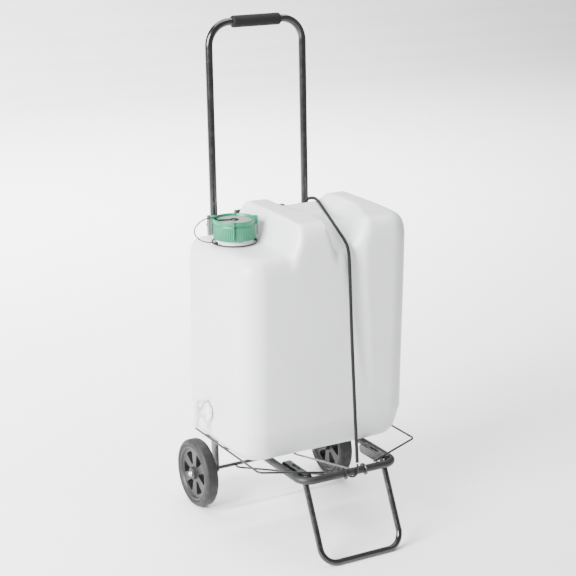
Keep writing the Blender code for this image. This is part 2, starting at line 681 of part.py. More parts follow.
def build_platform(steel, plastic, wire, zinc):
    origin = (0, PIVOT_Y, PIVOT_Z)
    frame_path = fillet_path(
        [(-RAIL_X, RAIL_BACK, RAIL_Z), (-RAIL_X, BAR_Y, RAIL_Z), (RAIL_X, BAR_Y, RAIL_Z),
         (RAIL_X, RAIL_BACK, RAIL_Z)],
        [BAR_BEND, BAR_BEND], 4,
    )
    add_object("platform_frame", sweep(frame_path, RAIL_R, RAIL_R - 0.0013, 14), steel, origin)

    for side, name in ((-1, "left"), (1, "right")):
        x = side * RAIL_X
        plug = sweep([(x, RAIL_BACK - 0.018, RAIL_Z), (x, RAIL_BACK + 0.001, RAIL_Z)], RAIL_R - 0.0017, 0, 20)
        head = yz_plate(
            hull_outline([(PIVOT_Y, PIVOT_Z, 0.0095), (RAIL_BACK + 0.0073, PIVOT_Z - 0.0015, 0.0070),
                          (RAIL_BACK + 0.0073, PIVOT_Z + 0.0015, 0.0070)], 7),
            x - 0.0093, x + 0.0093, 0.0008,
        )
        bore = moved(disc(PIVOT_R + 0.00010, -0.03, 0.03, 16), along_x(x, PIVOT_Y, PIVOT_Z))
        end = combine(combine(plug, [head], "UNION"), [bore], "DIFFERENCE")
        add_object(f"rail_end_{name}", end, plastic, (x, PIVOT_Y, PIVOT_Z), sharp=30)

        pad = yz_plate(rounded_rect(0.060, 0.0160, 0.002, 2, (-0.110, 0.1765)), x - 0.0070, x + 0.0070, 0.0010)
        saddle = sweep([(x, -0.20, RAIL_Z), (x, -0.01, RAIL_Z)], RAIL_R + GAP, 0, 20)
        pad = combine(pad, [saddle], "DIFFERENCE")
        bmesh.ops.bisect_plane(
            pad, geom=[*pad.verts, *pad.edges, *pad.faces], plane_co=(0, 0, RAIL_Z + 0.0035),
            plane_no=(0, 0, -1), clear_outer=True,
        )
        bmesh.ops.holes_fill(pad, edges=[e for e in pad.edges if e.is_boundary])
        add_object(f"rail_pad_{name}", pad, plastic, origin, sharp=30)

        wall = 0.0015
        mid = side * 0.09435
        wide, high = 0.0166, 0.0200
        outside = yz_plate(
            hull_outline([(-0.2605, 0.1712, 0.0088), (-0.2605, 0.1688, 0.0088), (-0.3410, 0.1712, 0.0088),
                          (-0.3410, 0.1688, 0.0088)], 6),
            mid - wide / 2, mid + wide / 2, 0.0007,
        )
        trough = yz_plate(
            [(-0.2565, 0.120), (-0.2565, 0.1770), (-0.2600, 0.1785), (-0.3600, 0.1785), (-0.3600, 0.120)],
            mid - wide / 2 + wall, mid + wide / 2 - wall,
        )
        slot = prism(hull_outline([(mid, -0.2850, 0.0030), (mid, -0.3100, 0.0030)], 5), 0.170, 0.200)
        pin_bore = moved(disc(0.0025 + GAP, -0.03, 0.03, 16), along_x(mid, LEG_PIVOT_Y, LEG_PIVOT_Z))
        channel = combine(outside, [trough, slot, pin_bore], "DIFFERENCE")
        channel = combine(channel, [sweep(frame_path, RAIL_R + 0.0005, 0, 14)], "DIFFERENCE")
        add_object(f"leg_channel_{name}", channel, steel, origin, sharp=30)

        reach = wide / 2 + GAP
        pin = lathe(
            [(0, -reach + 0.0012), (0.0024, -reach + 0.0012), (0.0024, reach), (0.0042, reach),
             (0.0042, reach + 0.0008), (0.0030, reach + 0.0022), (0, reach + 0.0022)], 16
        )
        add_object(
            f"leg_pin_{name}",
            moved(pin, along_x(mid, LEG_PIVOT_Y, LEG_PIVOT_Z, side > 0)),
            zinc, (mid, LEG_PIVOT_Y, LEG_PIVOT_Z),
        )

    end_y, end_z = BAR_Y + 0.0022, RAIL_Z + RAIL_R + WIRE_R + GAP
    bars = []
    for y in (-0.070, -0.150):
        bar = [(-RACK_X, y, RACK_Z), (-0.166, y, BAR_Z), (0.166, y, BAR_Z), (RACK_X, y, RACK_Z)]
        bars.append(sweep(bar, WIRE_R, 0, 8))
    for side in (-1, 1):
        x = side * RACK_X
        edge = fillet_path(
            [(side * 0.058, end_y, end_z), (x, RACK_FRONT, RACK_Z), (x, RACK_BACK, RACK_Z)], [0.012], 4
        )
        bars.append(sweep(edge, WIRE_R, 0, 8))
    rack = combine(bars[0], bars[1:], "UNION")
    add_object("wire_rack", rack, wire, origin)

    for side, name in ((-1, "left"), (1, "right")):
        hook = AXLE_R + WIRE_R + 0.0004
        back_x = side * 0.0740
        front_x = -0.0175 if side < 0 else 0.0290
        path = []
        for deg in (-12, 10, 35, 60, 85, 110):
            a = math.radians(deg)
            path.append((back_x, hook * math.sin(-a), WHEEL_R - hook * math.cos(a)))
        loop = RAIL_R + WIRE_R + 0.0004
        front = []
        for deg in range(-50, 290, 20):
            a = math.radians(deg)
            shift = side * 0.0005 + 0.0050 * (deg + 50) / 320.0
            front.append((front_x + shift, BAR_Y + loop * math.cos(a), RAIL_Z + loop * math.sin(a)))
        start = Vector(path[0])
        lower = Vector(front[0])
        body = [start, *[Vector(p) for p in path[1:3]]]
        body += [Vector((back_x, -0.0105, WHEEL_R - hook + 0.0016)), lower.lerp(start, 0.12)]
        body += [Vector(p) for p in front]
        add_object(f"stay_wire_{name}", sweep(body, WIRE_R, 0, 8), wire, origin)


def build_leg(steel):
    origin = (0, LEG_PIVOT_Y, LEG_PIVOT_Z)
    mid = 0.09435
    foot_z = LEG_R + 0.0002
    down = Vector((0, LEG_FOOT_Y - LEG_PIVOT_Y, foot_z - LEG_PIVOT_Z)).normalized()
    top_l = Vector((-mid, LEG_PIVOT_Y, LEG_PIVOT_Z)) - down * 0.0038
    top_r = Vector((mid, LEG_PIVOT_Y, LEG_PIVOT_Z)) - down * 0.0038
    path = fillet_path(
        [top_l, (-mid, LEG_FOOT_Y, foot_z), (mid, LEG_FOOT_Y, foot_z), top_r], [LEG_BEND, LEG_BEND], 4
    )
    leg = sweep(path, LEG_R, LEG_R - 0.0012, 12)
    bore = moved(disc(0.00255, -0.2, 0.2, 16), along_x(0, LEG_PIVOT_Y, LEG_PIVOT_Z))
    leg = combine(leg, [bore], "DIFFERENCE")
    add_object("front_leg", leg, steel, origin)


def build_canister(hdpe, green, black, white, rubber):
    place = Matrix.Translation((NECK_X, NECK_Y, 0))
    outer = canister_shell(0.0, CANISTER_CELLS)
    seat = moved(disc(0.0492, 0.6185, 0.7200, 32), place)
    neck = moved(disc(NECK_R, 0.6100, NECK_TOP, 28), place)
    boss = moved(disc(0.0215, -0.0040, 0.0010, 24), along_x(-TANK_HX, TAP_Y, TAP_Z, True))
    shell = combine(combine(outer, [seat], "DIFFERENCE"), [neck, boss], "UNION")
    inner = canister_shell(TANK_WALL, INNER_CELLS)
    under_seat = moved(disc(0.0522, 0.6155, 0.7200, 32), place)
    inner = combine(inner, [under_seat], "DIFFERENCE")
    pocket = moved(disc(0.0190, -0.0300, -0.0040, 24), along_x(-TANK_HX, TAP_Y, TAP_Z, True))
    inner = combine(inner, [pocket], "UNION")
    shell = combine(shell, [inner], "DIFFERENCE")
    bore = moved(disc(NECK_BORE, 0.5900, NECK_TOP + 0.01, 28), place)
    outlet = moved(disc(0.0082, -0.03, 0.03, 16), along_x(-TANK_HX, TAP_Y, TAP_Z))
    shell = combine(shell, [bore, outlet], "DIFFERENCE")
    add_object("canister", shell, hdpe, (NECK_X, NECK_Y, 0.6))

    centre = Vector((NECK_X, NECK_Y, 0))
    turn = Matrix.Translation(centre) @ Matrix.Rotation(CAP_ANGLE, 4, "Z")
    gasket = disc(NECK_R - 0.0004, NECK_TOP + GAP, 0.6597, 32, 0.0, NECK_BORE + 0.0005)
    add_object("cap_gasket", moved(gasket, turn), rubber, (NECK_X, NECK_Y, 0.66))
    cap = lathe(
        [(0.0040, 0.6600), (0.0386, 0.6600), (0.0386, 0.6290), (0.0418, 0.6290), (0.0425, 0.6300),
         (0.0425, 0.6590), (0.0414, 0.6600), (0.0414, 0.6620), (0.0437, 0.6630), (0.0437, 0.6690),
         (0.0428, 0.6700), (0.0402, 0.6700), (0.0392, 0.6650), (0.0040, 0.6650)], 32
    )
    lugs = []
    for k in range(4):
        arm = prism(rounded_rect(0.0100, 0.0040, 0.0012, 1, (0.0430, 0.0)), 0.6350, 0.6755, 0.0008)
        lugs.append(moved(arm, Matrix.Rotation(math.radians(90 * k), 4, "Z")))
        gap = prism(rounded_rect(0.0020, 0.0200, 0.0006, 1, (0.0440, 0.0)), 0.6200, 0.6580)
        lugs[-1] = combine(lugs[-1], [moved(gap, Matrix.Rotation(math.radians(90 * k), 4, "Z"))], "DIFFERENCE")
    cap = combine(cap, lugs, "UNION")
    add_object("screw_cap", moved(cap, turn), green, (NECK_X, NECK_Y, 0.66), sharp=30)

    button = lathe(
        [(0, 0.6590), (0.0052, 0.6590), (0.0052, 0.6597), (0.0036, 0.6597), (0.0036, 0.6653),
         (0.0080, 0.6653), (0.0080, 0.6672), (0.0068, 0.6684), (0, 0.6684)], 20
    )
    strap = prism(rounded_rect(0.0330, 0.0090, 0.0030, 2, (-0.0190, 0.0)), 0.6655, 0.6672, 0.0004)
    button = combine(button, [strap], "UNION")
    swing = Matrix.Translation(centre) @ Matrix.Rotation(TETHER_ANGLE - math.pi, 4, "Z")
    add_object("tether_button", moved(button, swing), black, (NECK_X, NECK_Y, 0.6665), sharp=30)

    ring = [
        (NECK_X + 0.0453 * math.cos(a), NECK_Y + 0.0453 * math.sin(a), 0.6210)
        for a in (2 * math.pi * k / 28 for k in range(28))
    ]
    add_object("tether_ring", sweep(ring, 0.0017, 0, 6, closed=True), black, (NECK_X, NECK_Y, 0.62))

    left = Vector((math.cos(TETHER_ANGLE), math.sin(TETHER_ANGLE), 0))
    toward = Vector((-left.y, left.x, 0))
    knot = centre + left * 0.0400 + toward * 0.0225
    knot.z = 0.6245
    route = [(0.0375, 0.0, 0.6670), (0.0379, 0.0, 0.6690), (0.0388, 0.0, 0.6712), (0.0430, 0.0, 0.6722),
             (0.0500, 0.0, 0.6720), (0.0640, 0.001, 0.6690), (0.0790, 0.003, 0.6570),
             (0.0830, 0.007, 0.6440), (0.0760, 0.012, 0.6330), (0.0640, 0.017, 0.6275)]
    path = [centre + left * a + toward * b + Vector((0, 0, z)) for a, b, z in route]
    path.append(knot + left * 0.0083 - toward * 0.002 + Vector((0, 0, 0.0008)))
    add_object("tether_cord", sweep(smooth_path(path, 0.0036), 0.0012, 0, 6), black)
    out = (left + toward * 0.55).normalized()
    blob = sweep(
        [knot + out * d for d in (-0.0012, 0.0005, 0.0035, 0.0060, 0.0078)], 0.003, 0, 12,
        radii=[0.0018, 0.0030, 0.0030, 0.0020, 0.0014],
    )
    ring_cut = [
        (NECK_X + 0.0453 * math.cos(a), NECK_Y + 0.0453 * math.sin(a), 0.6210)
        for a in (2 * math.pi * k / 28 for k in range(28))
    ]
    blob = combine(blob, [sweep(ring_cut, 0.0022, 0, 6, closed=True)], "DIFFERENCE")
    add_object("tether_connector", blob, black)

    wall = -TANK_HX - 0.0010
    washer = disc(0.0150, 0.0003, 0.0023, 24, 0.0, 0.0084)
    add_object("tap_washer", moved(washer, along_x(wall, TAP_Y, TAP_Z, True)), rubber)
    inner_nut = combine(disc(0.0165, 0.0053, 0.0123, 6), [disc(0.0084, 0.0, 0.02, 20)], "DIFFERENCE")
    add_object("tap_inner_nut", moved(inner_nut, along_x(wall, TAP_Y, TAP_Z)), white, sharp=20)

    reach = wall - TAP_X
    stem = lathe(
        [(0.0052, -0.0145), (0.0079, -0.0145), (0.0079, 0.0026), (0.0195, 0.0026), (0.0205, 0.0036),
         (0.0205, 0.0085), (0.0190, 0.0100), (0.0120, 0.0105), (0.0105, 0.0130), (0.0100, reach),
         (0.0052, reach)], 20
    )
    stem = moved(stem, along_x(wall, TAP_Y, TAP_Z, True))
    barrel = lathe(
        [(0.0, -0.0300), (0.0072, -0.0300), (0.0080, -0.0240), (0.0098, -0.0140), (0.0105, -0.0100),
         (0.0105, 0.0150), (0.0095, 0.0160), (0.0, 0.0160)], 20
    )
    barrel = moved(barrel, Matrix.Translation((TAP_X, TAP_Y, TAP_Z)))
    body = combine(barrel, [stem], "UNION")
    plug_bore = moved(disc(0.0066, -0.0080, 0.0300, 24), Matrix.Translation((TAP_X, TAP_Y, TAP_Z)))
    spout_bore = moved(disc(0.0050, -0.0400, 0.0000, 24), Matrix.Translation((TAP_X, TAP_Y, TAP_Z)))
    flow = moved(disc(0.0046, -0.0200, reach, 20), along_x(wall, TAP_Y, TAP_Z, True))
    body = combine(body, [plug_bore, spout_bore, flow], "DIFFERENCE")
    grips = []
    for k in range(8):
        notch = moved(disc(0.0022, 0.0028, 0.0120, 6), Matrix.Translation((0.0212, 0, 0)))
        notch = moved(notch, Matrix.Rotation(math.radians(45 * k), 4, "Z"))
        grips.append(moved(notch, along_x(wall, TAP_Y, TAP_Z, True)))
    body = combine(body, grips, "DIFFERENCE")
    add_object("tap_body", body, white, (TAP_X, TAP_Y, TAP_Z), sharp=30)

    plug = disc(0.0065, -0.0075, 0.0240, 24, 0.0004)
    port = moved(disc(0.0040, -0.02, 0.02, 16), Matrix.Rotation(math.radians(90), 4, "X"))
    plug = combine(plug, [port], "DIFFERENCE")
    wing = prism(hull_outline([(0.0225, 0.0, 0.0042), (-0.0075, 0.0, 0.0052)], 6), 0.0232, 0.0290, 0.0010)
    crown = disc(0.0088, 0.0163, 0.0305, 20, 0.0012)
    plug = combine(plug, [wing, crown], "UNION")
    add_object("tap_lever", moved(plug, Matrix.Translation((TAP_X, TAP_Y, TAP_Z))), white,
               (TAP_X, TAP_Y, TAP_Z), sharp=30)


def bungee_route():
    """Route of the elastic cord: bridge hook, over the grip bar, down to the front bar."""
    return [
        (0.0860, -0.0030, 0.6300),
        (0.0915, -0.0042, 0.6480),
        (0.0990, -0.0105, 0.6590),
        (0.1030, -0.0260, 0.6646),
        (0.1010, -0.0480, 0.6650),
        (0.0915, -0.0850, 0.6590),
        (0.0710, -0.1560, 0.6475),
        (0.0530, -0.2180, 0.6370),
        (0.0450, -0.2520, 0.6285),
        (0.0425, -0.2705, 0.6120),
        (0.0400, -0.2800, 0.5740),
        (0.0314, -0.3040, 0.4500),
        (0.0216, -0.3340, 0.3050),
        (0.0134, -0.3595, 0.1895),
    ]


def laid_on(path, bm, clearance):
    """Push a route out of a closed surface until each of its points and chords rests above it."""
    tree = BVHTree.FromBMesh(bm)
    out = [Vector(p) for p in path]
    for _ in range(16):
        for i in range(len(out) - 1):
            for share in (0.0, 0.25, 0.5, 0.75):
                point = out[i].lerp(out[i + 1], share)
                near, normal, _, _ = tree.find_nearest(point)
                depth = clearance - (point - near).dot(normal)
                if depth > 0.0:
                    out[i] += normal * depth * (1.0 - share * 0.5)
                    if share > 0.0:
                        out[i + 1] += normal * depth * 0.5
    return out


def build_bungee(black, rubber):
    route = smooth_path(bungee_route(), 0.0128)
    route = laid_on(route, canister_shell(0.0, CANISTER_CELLS), BUNGEE_R + 0.0006)
    add_object("bungee_cord", sweep(route, BUNGEE_R, 0, 8), rubber)
    wire = 0.0021
    loop = RAIL_R + wire + 0.0005
    tail = Vector((0.0134, -0.3600, 0.1870))
    path = [tail, Vector((0.0124, -0.3635, 0.1790))]
    for deg in range(170, 385, 24):
        a = math.radians(deg)
        part = (deg - 170) / 215.0
        path.append(Vector((0.0114 - 0.0210 * part, BAR_Y + loop * math.cos(a), RAIL_Z + loop * math.sin(a))))
    add_object("bungee_hook_front", sweep(smooth_path(path, 0.0044), wire, 0, 6), black)
    post = Vector((0.0780, -0.0130, 0.6120))
    low = LEAN @ post
    path = [Vector((0.0859, -0.0030, 0.6278)), Vector((0.0866, -0.0030, 0.6180))]
    for deg in range(20, -176, -28):
        a = math.radians(deg)
        path.append(Vector((low.x + 0.0082 * math.cos(a), low.y + 0.0022, low.z + 0.0067 * math.sin(a))))
    add_object("bungee_hook_rear", sweep(smooth_path(path, 0.0036), 0.0017, 0, 6), black)


def main():
    clear_scene()
    steel = material("black_powder_coated_steel", (0.012, 0.012, 0.013), 0.32)
    wire = material("black_coated_wire", (0.014, 0.014, 0.015), 0.40)
    zinc = material("zinc_plated_steel", (0.62, 0.62, 0.62), 0.28, 1.0)
    plastic = material("black_moulded_plastic", (0.020, 0.020, 0.021), 0.45)
    tyre = material("black_wheel_tread", (0.016, 0.016, 0.017), 0.60)
    foam = material("black_grip_sleeve", (0.010, 0.010, 0.011), 0.80)
    cord = material("black_elastic_cord", (0.010, 0.010, 0.011), 0.75)
    black = material("black_soft_plastic", (0.014, 0.014, 0.015), 0.50)
    rubber = material("black_rubber", (0.016, 0.016, 0.016), 0.70)
    hdpe = material("natural_polyethylene", (0.80, 0.81, 0.80), 0.38, 0.0, 0.2)
    green = material("green_moulded_plastic", (0.035, 0.42, 0.25), 0.40)
    white = material("white_moulded_plastic", (0.80, 0.80, 0.78), 0.35)
    build_frame(steel, plastic, zinc)
    build_wheels(plastic, tyre)
    build_handle(steel, foam)
    build_platform(steel, plastic, wire, zinc)
    build_leg(steel)
    build_canister(hdpe, green, black, white, rubber)
    build_bungee(black, cord)


main()
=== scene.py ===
"""Looks of the folding waste tote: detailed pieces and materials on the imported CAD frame."""

import math

import bmesh
import bpy
import numpy as np
from mathutils import Matrix, Vector
from mathutils.bvhtree import BVHTree


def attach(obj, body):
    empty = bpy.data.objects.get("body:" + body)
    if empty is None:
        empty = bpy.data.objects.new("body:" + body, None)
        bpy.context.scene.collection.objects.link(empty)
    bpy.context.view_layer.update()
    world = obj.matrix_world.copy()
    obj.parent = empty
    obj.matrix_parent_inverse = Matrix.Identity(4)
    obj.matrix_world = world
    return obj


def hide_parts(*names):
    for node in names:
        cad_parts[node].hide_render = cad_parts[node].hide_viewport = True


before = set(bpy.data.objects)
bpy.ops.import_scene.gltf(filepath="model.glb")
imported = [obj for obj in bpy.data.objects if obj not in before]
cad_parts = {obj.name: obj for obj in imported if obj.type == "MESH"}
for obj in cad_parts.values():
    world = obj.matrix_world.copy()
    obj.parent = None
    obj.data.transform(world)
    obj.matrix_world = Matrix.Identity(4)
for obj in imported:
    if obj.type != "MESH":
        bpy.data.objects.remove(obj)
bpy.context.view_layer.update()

SHIFT = Vector((0.0235, 0.1707, 0.0))
WHEEL_R, WHEEL_X, WHEEL_W, SPOKES, POCKET_R = 0.075, 0.170, 0.031, 6, 0.0042
TUBE_X = 0.1115
LEAN_DEG, LEAN_Y0 = 2.09, -0.0021
HANDLE_TOP, HANDLE_BEND, HANDLE_LOW, HANDLE_R, HANDLE_WALL = 1.0452, 0.049, 0.560, 0.008, 0.0012
RAIL_X, RAIL_R, RAIL_Z, RAIL_BACK = 0.1115, 0.008, 0.170, -0.040
BAR_Y, BAR_BEND = -0.3548, 0.027
WIRE_R, RACK_X, RACK_FRONT, RACK_BACK, RACK_Z = 0.00225, 0.187, -0.308, -0.018, 0.1905
BAR_Z, BAR_FLAT_X = 0.1808, 0.166
LEG_X, LEG_R, LEG_PIVOT_Y, LEG_PIVOT_Z, LEG_FOOT_Y = 0.09435, 0.0064, -0.331, 0.166, -0.410
TANK_HX, TANK_FRONT, TANK_BACK, TANK_Z0 = 0.198, -0.276, -0.0125, 0.1849
TANK_TOP, TANK_SHOULDER, TANK_WALL = 0.680, 0.618, 0.003
ROOF_K, BASE_K = 0.036, 0.030
NECK_X, NECK_Y, NECK_R, NECK_BORE, NECK_TOP = -0.1375, -0.120, 0.0370, 0.0335, 0.6575
CAP_ANGLE = math.radians(-29.9)
TETHER_ANGLE = math.radians(162.0)
TAP_X, TAP_Y, TAP_Z = -0.2320, -0.115, 0.262
BUNGEE_R = 0.0035
CAMERA_AZIMUTH, CAMERA_ELEVATION = math.radians(-29.90), math.radians(16.47)
CAMERA_TARGET, CAMERA_DISTANCE, CAMERA_LENS = Vector((0.0574, 0.0, 0.4618)), 3.482, 99.38


# ------------------------------------------------------------------ materials
class Nodes:
    """Small helper around one material's node tree."""

    def __init__(self, name):
        self.mat = bpy.data.materials.new(name)
        self.mat.use_nodes = True
        self.tree = self.mat.node_tree
        self.shader = self.tree.nodes["Principled BSDF"]
        self.coord = self.tree.nodes.new("ShaderNodeTexCoord")

    def link(self, a, b):
        self.tree.links.new(a, b)

    def noise(self, scale, detail=4.0, rough=0.5):
        node = self.tree.nodes.new("ShaderNodeTexNoise")
        node.inputs["Scale"].default_value = scale
        node.inputs["Detail"].default_value = detail
        node.inputs["Roughness"].default_value = rough
        self.link(self.coord.outputs["Object"], node.inputs["Vector"])
        return node.outputs["Fac"]

    def ramp(self, value, low, high, a, b):
        node = self.tree.nodes.new("ShaderNodeMapRange")
        node.inputs["From Min"].default_value = low
        node.inputs["From Max"].default_value = high
        node.inputs["To Min"].default_value = a
        node.inputs["To Max"].default_value = b
        self.link(value, node.inputs["Value"])
        return node.outputs["Result"]

    def mix(self, factor, a, b):
        node = self.tree.nodes.new("ShaderNodeMix")
        node.data_type = "RGBA"
        node.inputs[6].default_value = (*a, 1) if len(a) == 3 else a
        node.inputs[7].default_value = (*b, 1) if len(b) == 3 else b
        self.link(factor, node.inputs[0])
        return node.outputs[2]

    def maths(self, kind, a, b):
        node = self.tree.nodes.new("ShaderNodeMath")
        node.operation = kind
        for i, value in enumerate((a, b)):
            if isinstance(value, (int, float)):
                node.inputs[i].default_value = value
            else:
                self.link(value, node.inputs[i])
        return node.outputs[0]

    def bump(self, heights):
        """Chain of bump nodes from (height, strength, distance) rows."""
        normal = None
        for height, strength, distance in heights:
            node = self.tree.nodes.new("ShaderNodeBump")
            node.inputs["Strength"].default_value = strength
            node.inputs["Distance"].default_value = distance
            self.link(height, node.inputs["Height"])
            if normal is not None:
                self.link(normal, node.inputs["Normal"])
            normal = node.outputs["Normal"]
        self.link(normal, self.shader.inputs["Normal"])

    def edges(self, low=0.52, high=0.62):
        geo = self.tree.nodes.new("ShaderNodeNewGeometry")
        return self.ramp(geo.outputs["Pointiness"], low, high, 0.0, 1.0)

    def set(self, **values):
        for key, value in values.items():
            self.shader.inputs[key.replace("_", " ")].default_value = value


def surface(name, dark, light, rough, grain, grain_depth, patch=14.0, wear=None, **values):
    """Coloured surface with cloudy variation, fine grain, uneven gloss and worn edges."""
    m = Nodes(name)
    clouds = m.noise(patch, 5.0, 0.6)
    tone = m.mix(m.ramp(clouds, 0.3, 0.7, 0.0, 1.0), dark, light)
    if wear is not None:
        node = m.tree.nodes.new("ShaderNodeMix")
        node.data_type = "RGBA"
        m.link(tone, node.inputs[6])
        node.inputs[7].default_value = (*wear, 1)
        spots = m.ramp(m.noise(90.0, 3.0), 0.45, 0.7, 0.0, 0.5)
        m.link(m.maths("MULTIPLY", m.edges(), spots), node.inputs[0])
        tone = node.outputs[2]
    m.link(tone, m.shader.inputs["Base Color"])
    fine = m.noise(grain, 3.0, 0.55)
    m.link(m.ramp(m.noise(patch * 2.5, 4.0), 0.3, 0.7, rough[0], rough[1]), m.shader.inputs["Roughness"])
    m.bump([(fine, 0.6, grain_depth)])
    m.set(**values)
    return m.mat


def make_materials():
    mats = {}
    mats["steel"] = surface(
        "powder_coat", (0.0030, 0.0030, 0.0033), (0.0060, 0.0060, 0.0065), (0.16, 0.26), 420.0, 0.00012,
        wear=(0.06, 0.06, 0.062), Coat_Weight=0.35, Coat_Roughness=0.12,
    )
    mats["platform"] = surface(
        "textured_coat", (0.006, 0.006, 0.0065), (0.010, 0.010, 0.0105), (0.38, 0.54), 900.0, 0.00035,
        wear=(0.10, 0.10, 0.10),
    )
    mats["wire"] = surface(
        "wire_coat", (0.004, 0.004, 0.0045), (0.007, 0.007, 0.0075), (0.26, 0.40), 500.0, 0.0001,
        Coat_Weight=0.2,
    )
    mats["zinc"] = surface(
        "zinc_plate", (0.52, 0.52, 0.53), (0.70, 0.70, 0.69), (0.22, 0.42), 700.0, 0.00008, patch=60.0,
        Metallic=1.0,
    )
    mats["plastic"] = surface(
        "moulded_black", (0.005, 0.005, 0.0055), (0.009, 0.009, 0.0095), (0.38, 0.52), 1100.0, 0.00018,
        wear=(0.05, 0.05, 0.05),
    )
    mats["tyre"] = surface(
        "wheel_tread", (0.005, 0.005, 0.0052), (0.010, 0.0098, 0.0096), (0.50, 0.72), 800.0, 0.0003,
        patch=30.0, wear=(0.05, 0.048, 0.045),
    )
    mats["rubber"] = surface(
        "soft_rubber", (0.005, 0.005, 0.005), (0.009, 0.009, 0.009), (0.55, 0.75), 700.0, 0.0002
    )
    mats["soft"] = surface(
        "soft_black_plastic", (0.004, 0.004, 0.0045), (0.008, 0.008, 0.0085), (0.36, 0.5), 600.0, 0.0001
    )
    mats["green"] = surface(
        "green_plastic", (0.003, 0.135, 0.062), (0.006, 0.185, 0.092), (0.30, 0.42), 900.0, 0.00012,
        patch=25.0, wear=(0.06, 0.32, 0.22), Subsurface_Weight=0.08, Subsurface_Scale=0.003,
    )
    mats["white"] = surface(
        "white_plastic", (0.70, 0.70, 0.69), (0.80, 0.80, 0.79), (0.28, 0.40), 900.0, 0.0001,
        patch=30.0, Subsurface_Weight=0.15, Subsurface_Scale=0.004,
    )
    mats["grey"] = surface(
        "grey_disc", (0.20, 0.21, 0.21), (0.28, 0.29, 0.29), (0.42, 0.55), 900.0, 0.00015
    )

    m = Nodes("foam_sleeve")
    cell = m.tree.nodes.new("ShaderNodeTexVoronoi")
    cell.inputs["Scale"].default_value = 900.0
    m.link(m.coord.outputs["Object"], cell.inputs["Vector"])
    m.link(m.mix(m.noise(40.0), (0.003, 0.003, 0.0032), (0.007, 0.007, 0.007)), m.shader.inputs["Base Color"])
    m.link(m.ramp(cell.outputs["Distance"], 0.0, 0.8, 0.90, 0.66), m.shader.inputs["Roughness"])
    m.bump([(cell.outputs["Distance"], 0.7, 0.0004), (m.noise(60.0), 0.4, 0.0003)])
    m.set(Sheen_Weight=0.02, Specular_IOR_Level=0.25)
    mats["foam"] = m.mat

    m = Nodes("braided_cord")
    split = m.tree.nodes.new("ShaderNodeSeparateXYZ")
    m.link(m.coord.outputs["UV"], split.inputs[0])
    strands = []
    for sign in (1.0, -1.0):
        lane = m.maths("MULTIPLY", split.outputs["X"], 8.0)
        run = m.maths("MULTIPLY", split.outputs["Y"], sign)
        strands.append(m.maths("SINE", m.maths("MULTIPLY", m.maths("ADD", lane, run), 6.2832), 0.0))
    weave = m.maths("MAXIMUM", strands[0], strands[1])
    # Base colour follows the weave height: painted shade darkens the grooves between the strands, and the
    # strand tops are lighter.
    m.link(m.mix(m.ramp(weave, -0.2, 1.0, 0.0, 1.0), (0.002, 0.002, 0.002), (0.008, 0.008, 0.0085)),
           m.shader.inputs["Base Color"])
    m.link(m.ramp(m.noise(300.0), 0.3, 0.7, 0.62, 0.82), m.shader.inputs["Roughness"])
    m.bump([(weave, 0.9, 0.0004), (m.noise(2500.0), 0.4, 0.0001)])
    m.set(Sheen_Weight=0.03, Specular_IOR_Level=0.3)
    mats["cord"] = m.mat

    m = Nodes("natural_polyethylene")
    clouds = m.noise(7.0, 5.0, 0.55)
    m.link(m.mix(m.ramp(clouds, 0.3, 0.7, 0.0, 1.0), (0.66, 0.675, 0.685), (0.72, 0.73, 0.735)),
           m.shader.inputs["Base Color"])
    m.link(m.ramp(m.noise(22.0, 4.0), 0.3, 0.7, 0.30, 0.42), m.shader.inputs["Roughness"])
    m.bump([(m.noise(14.0, 2.0), 0.20, 0.0012), (m.noise(520.0, 3.0), 0.35, 0.00025)])
    m.set(Subsurface_Weight=0.45, Subsurface_Scale=0.012, Subsurface_Radius=(1.0, 1.0, 0.95), IOR=1.5)
    mats["hdpe"] = m.mat

    m = Nodes("studio_floor")
    m.link(m.mix(m.noise(3.0), (0.92, 0.92, 0.92), (0.95, 0.95, 0.95)), m.shader.inputs["Base Color"])
    m.link(m.ramp(m.noise(8.0), 0.3, 0.7, 0.55, 0.70), m.shader.inputs["Roughness"])
    mats["floor"] = m.mat
    return mats


MATS = make_materials()


# ------------------------------------------------------------------ mesh helpers
def piece(name, bm, mat, body, *nodes, matrix=None, sharp=38.0, bevel=0.0, tone=None):
    """Named visual piece that rides on a body and stands for the CAD nodes given."""
    if matrix is not None:
        bmesh.ops.transform(bm, matrix=matrix, verts=bm.verts)
    bmesh.ops.recalc_face_normals(bm, faces=bm.faces)
    bmesh.ops.translate(bm, vec=SHIFT, verts=bm.verts)
    if bevel > 0.0:
        keen = [e for e in bm.edges if e.is_manifold and e.calc_face_angle(0.0) > math.radians(sharp)]
        bmesh.ops.bevel(bm, geom=keen, offset=bevel, segments=2, affect="EDGES", clamp_overlap=True)
    mesh = bpy.data.meshes.new(name)
    bm.to_mesh(mesh)
    bm.free()
    for poly in mesh.polygons:
        poly.use_smooth = True
    mesh.set_sharp_from_angle(angle=math.radians(sharp))
    mesh.materials.append(MATS[mat])
    obj = bpy.data.objects.new(name, mesh)
    bpy.context.scene.collection.objects.link(obj)
    if nodes:
        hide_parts(*nodes)
    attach(obj, body)
    return obj


def temp_object(bm):
    bmesh.ops.recalc_face_normals(bm, faces=bm.faces)
    mesh = bpy.data.meshes.new("temp")
    bm.to_mesh(mesh)
    bm.free()
    obj = bpy.data.objects.new("temp", mesh)
    bpy.context.scene.collection.objects.link(obj)
    return obj


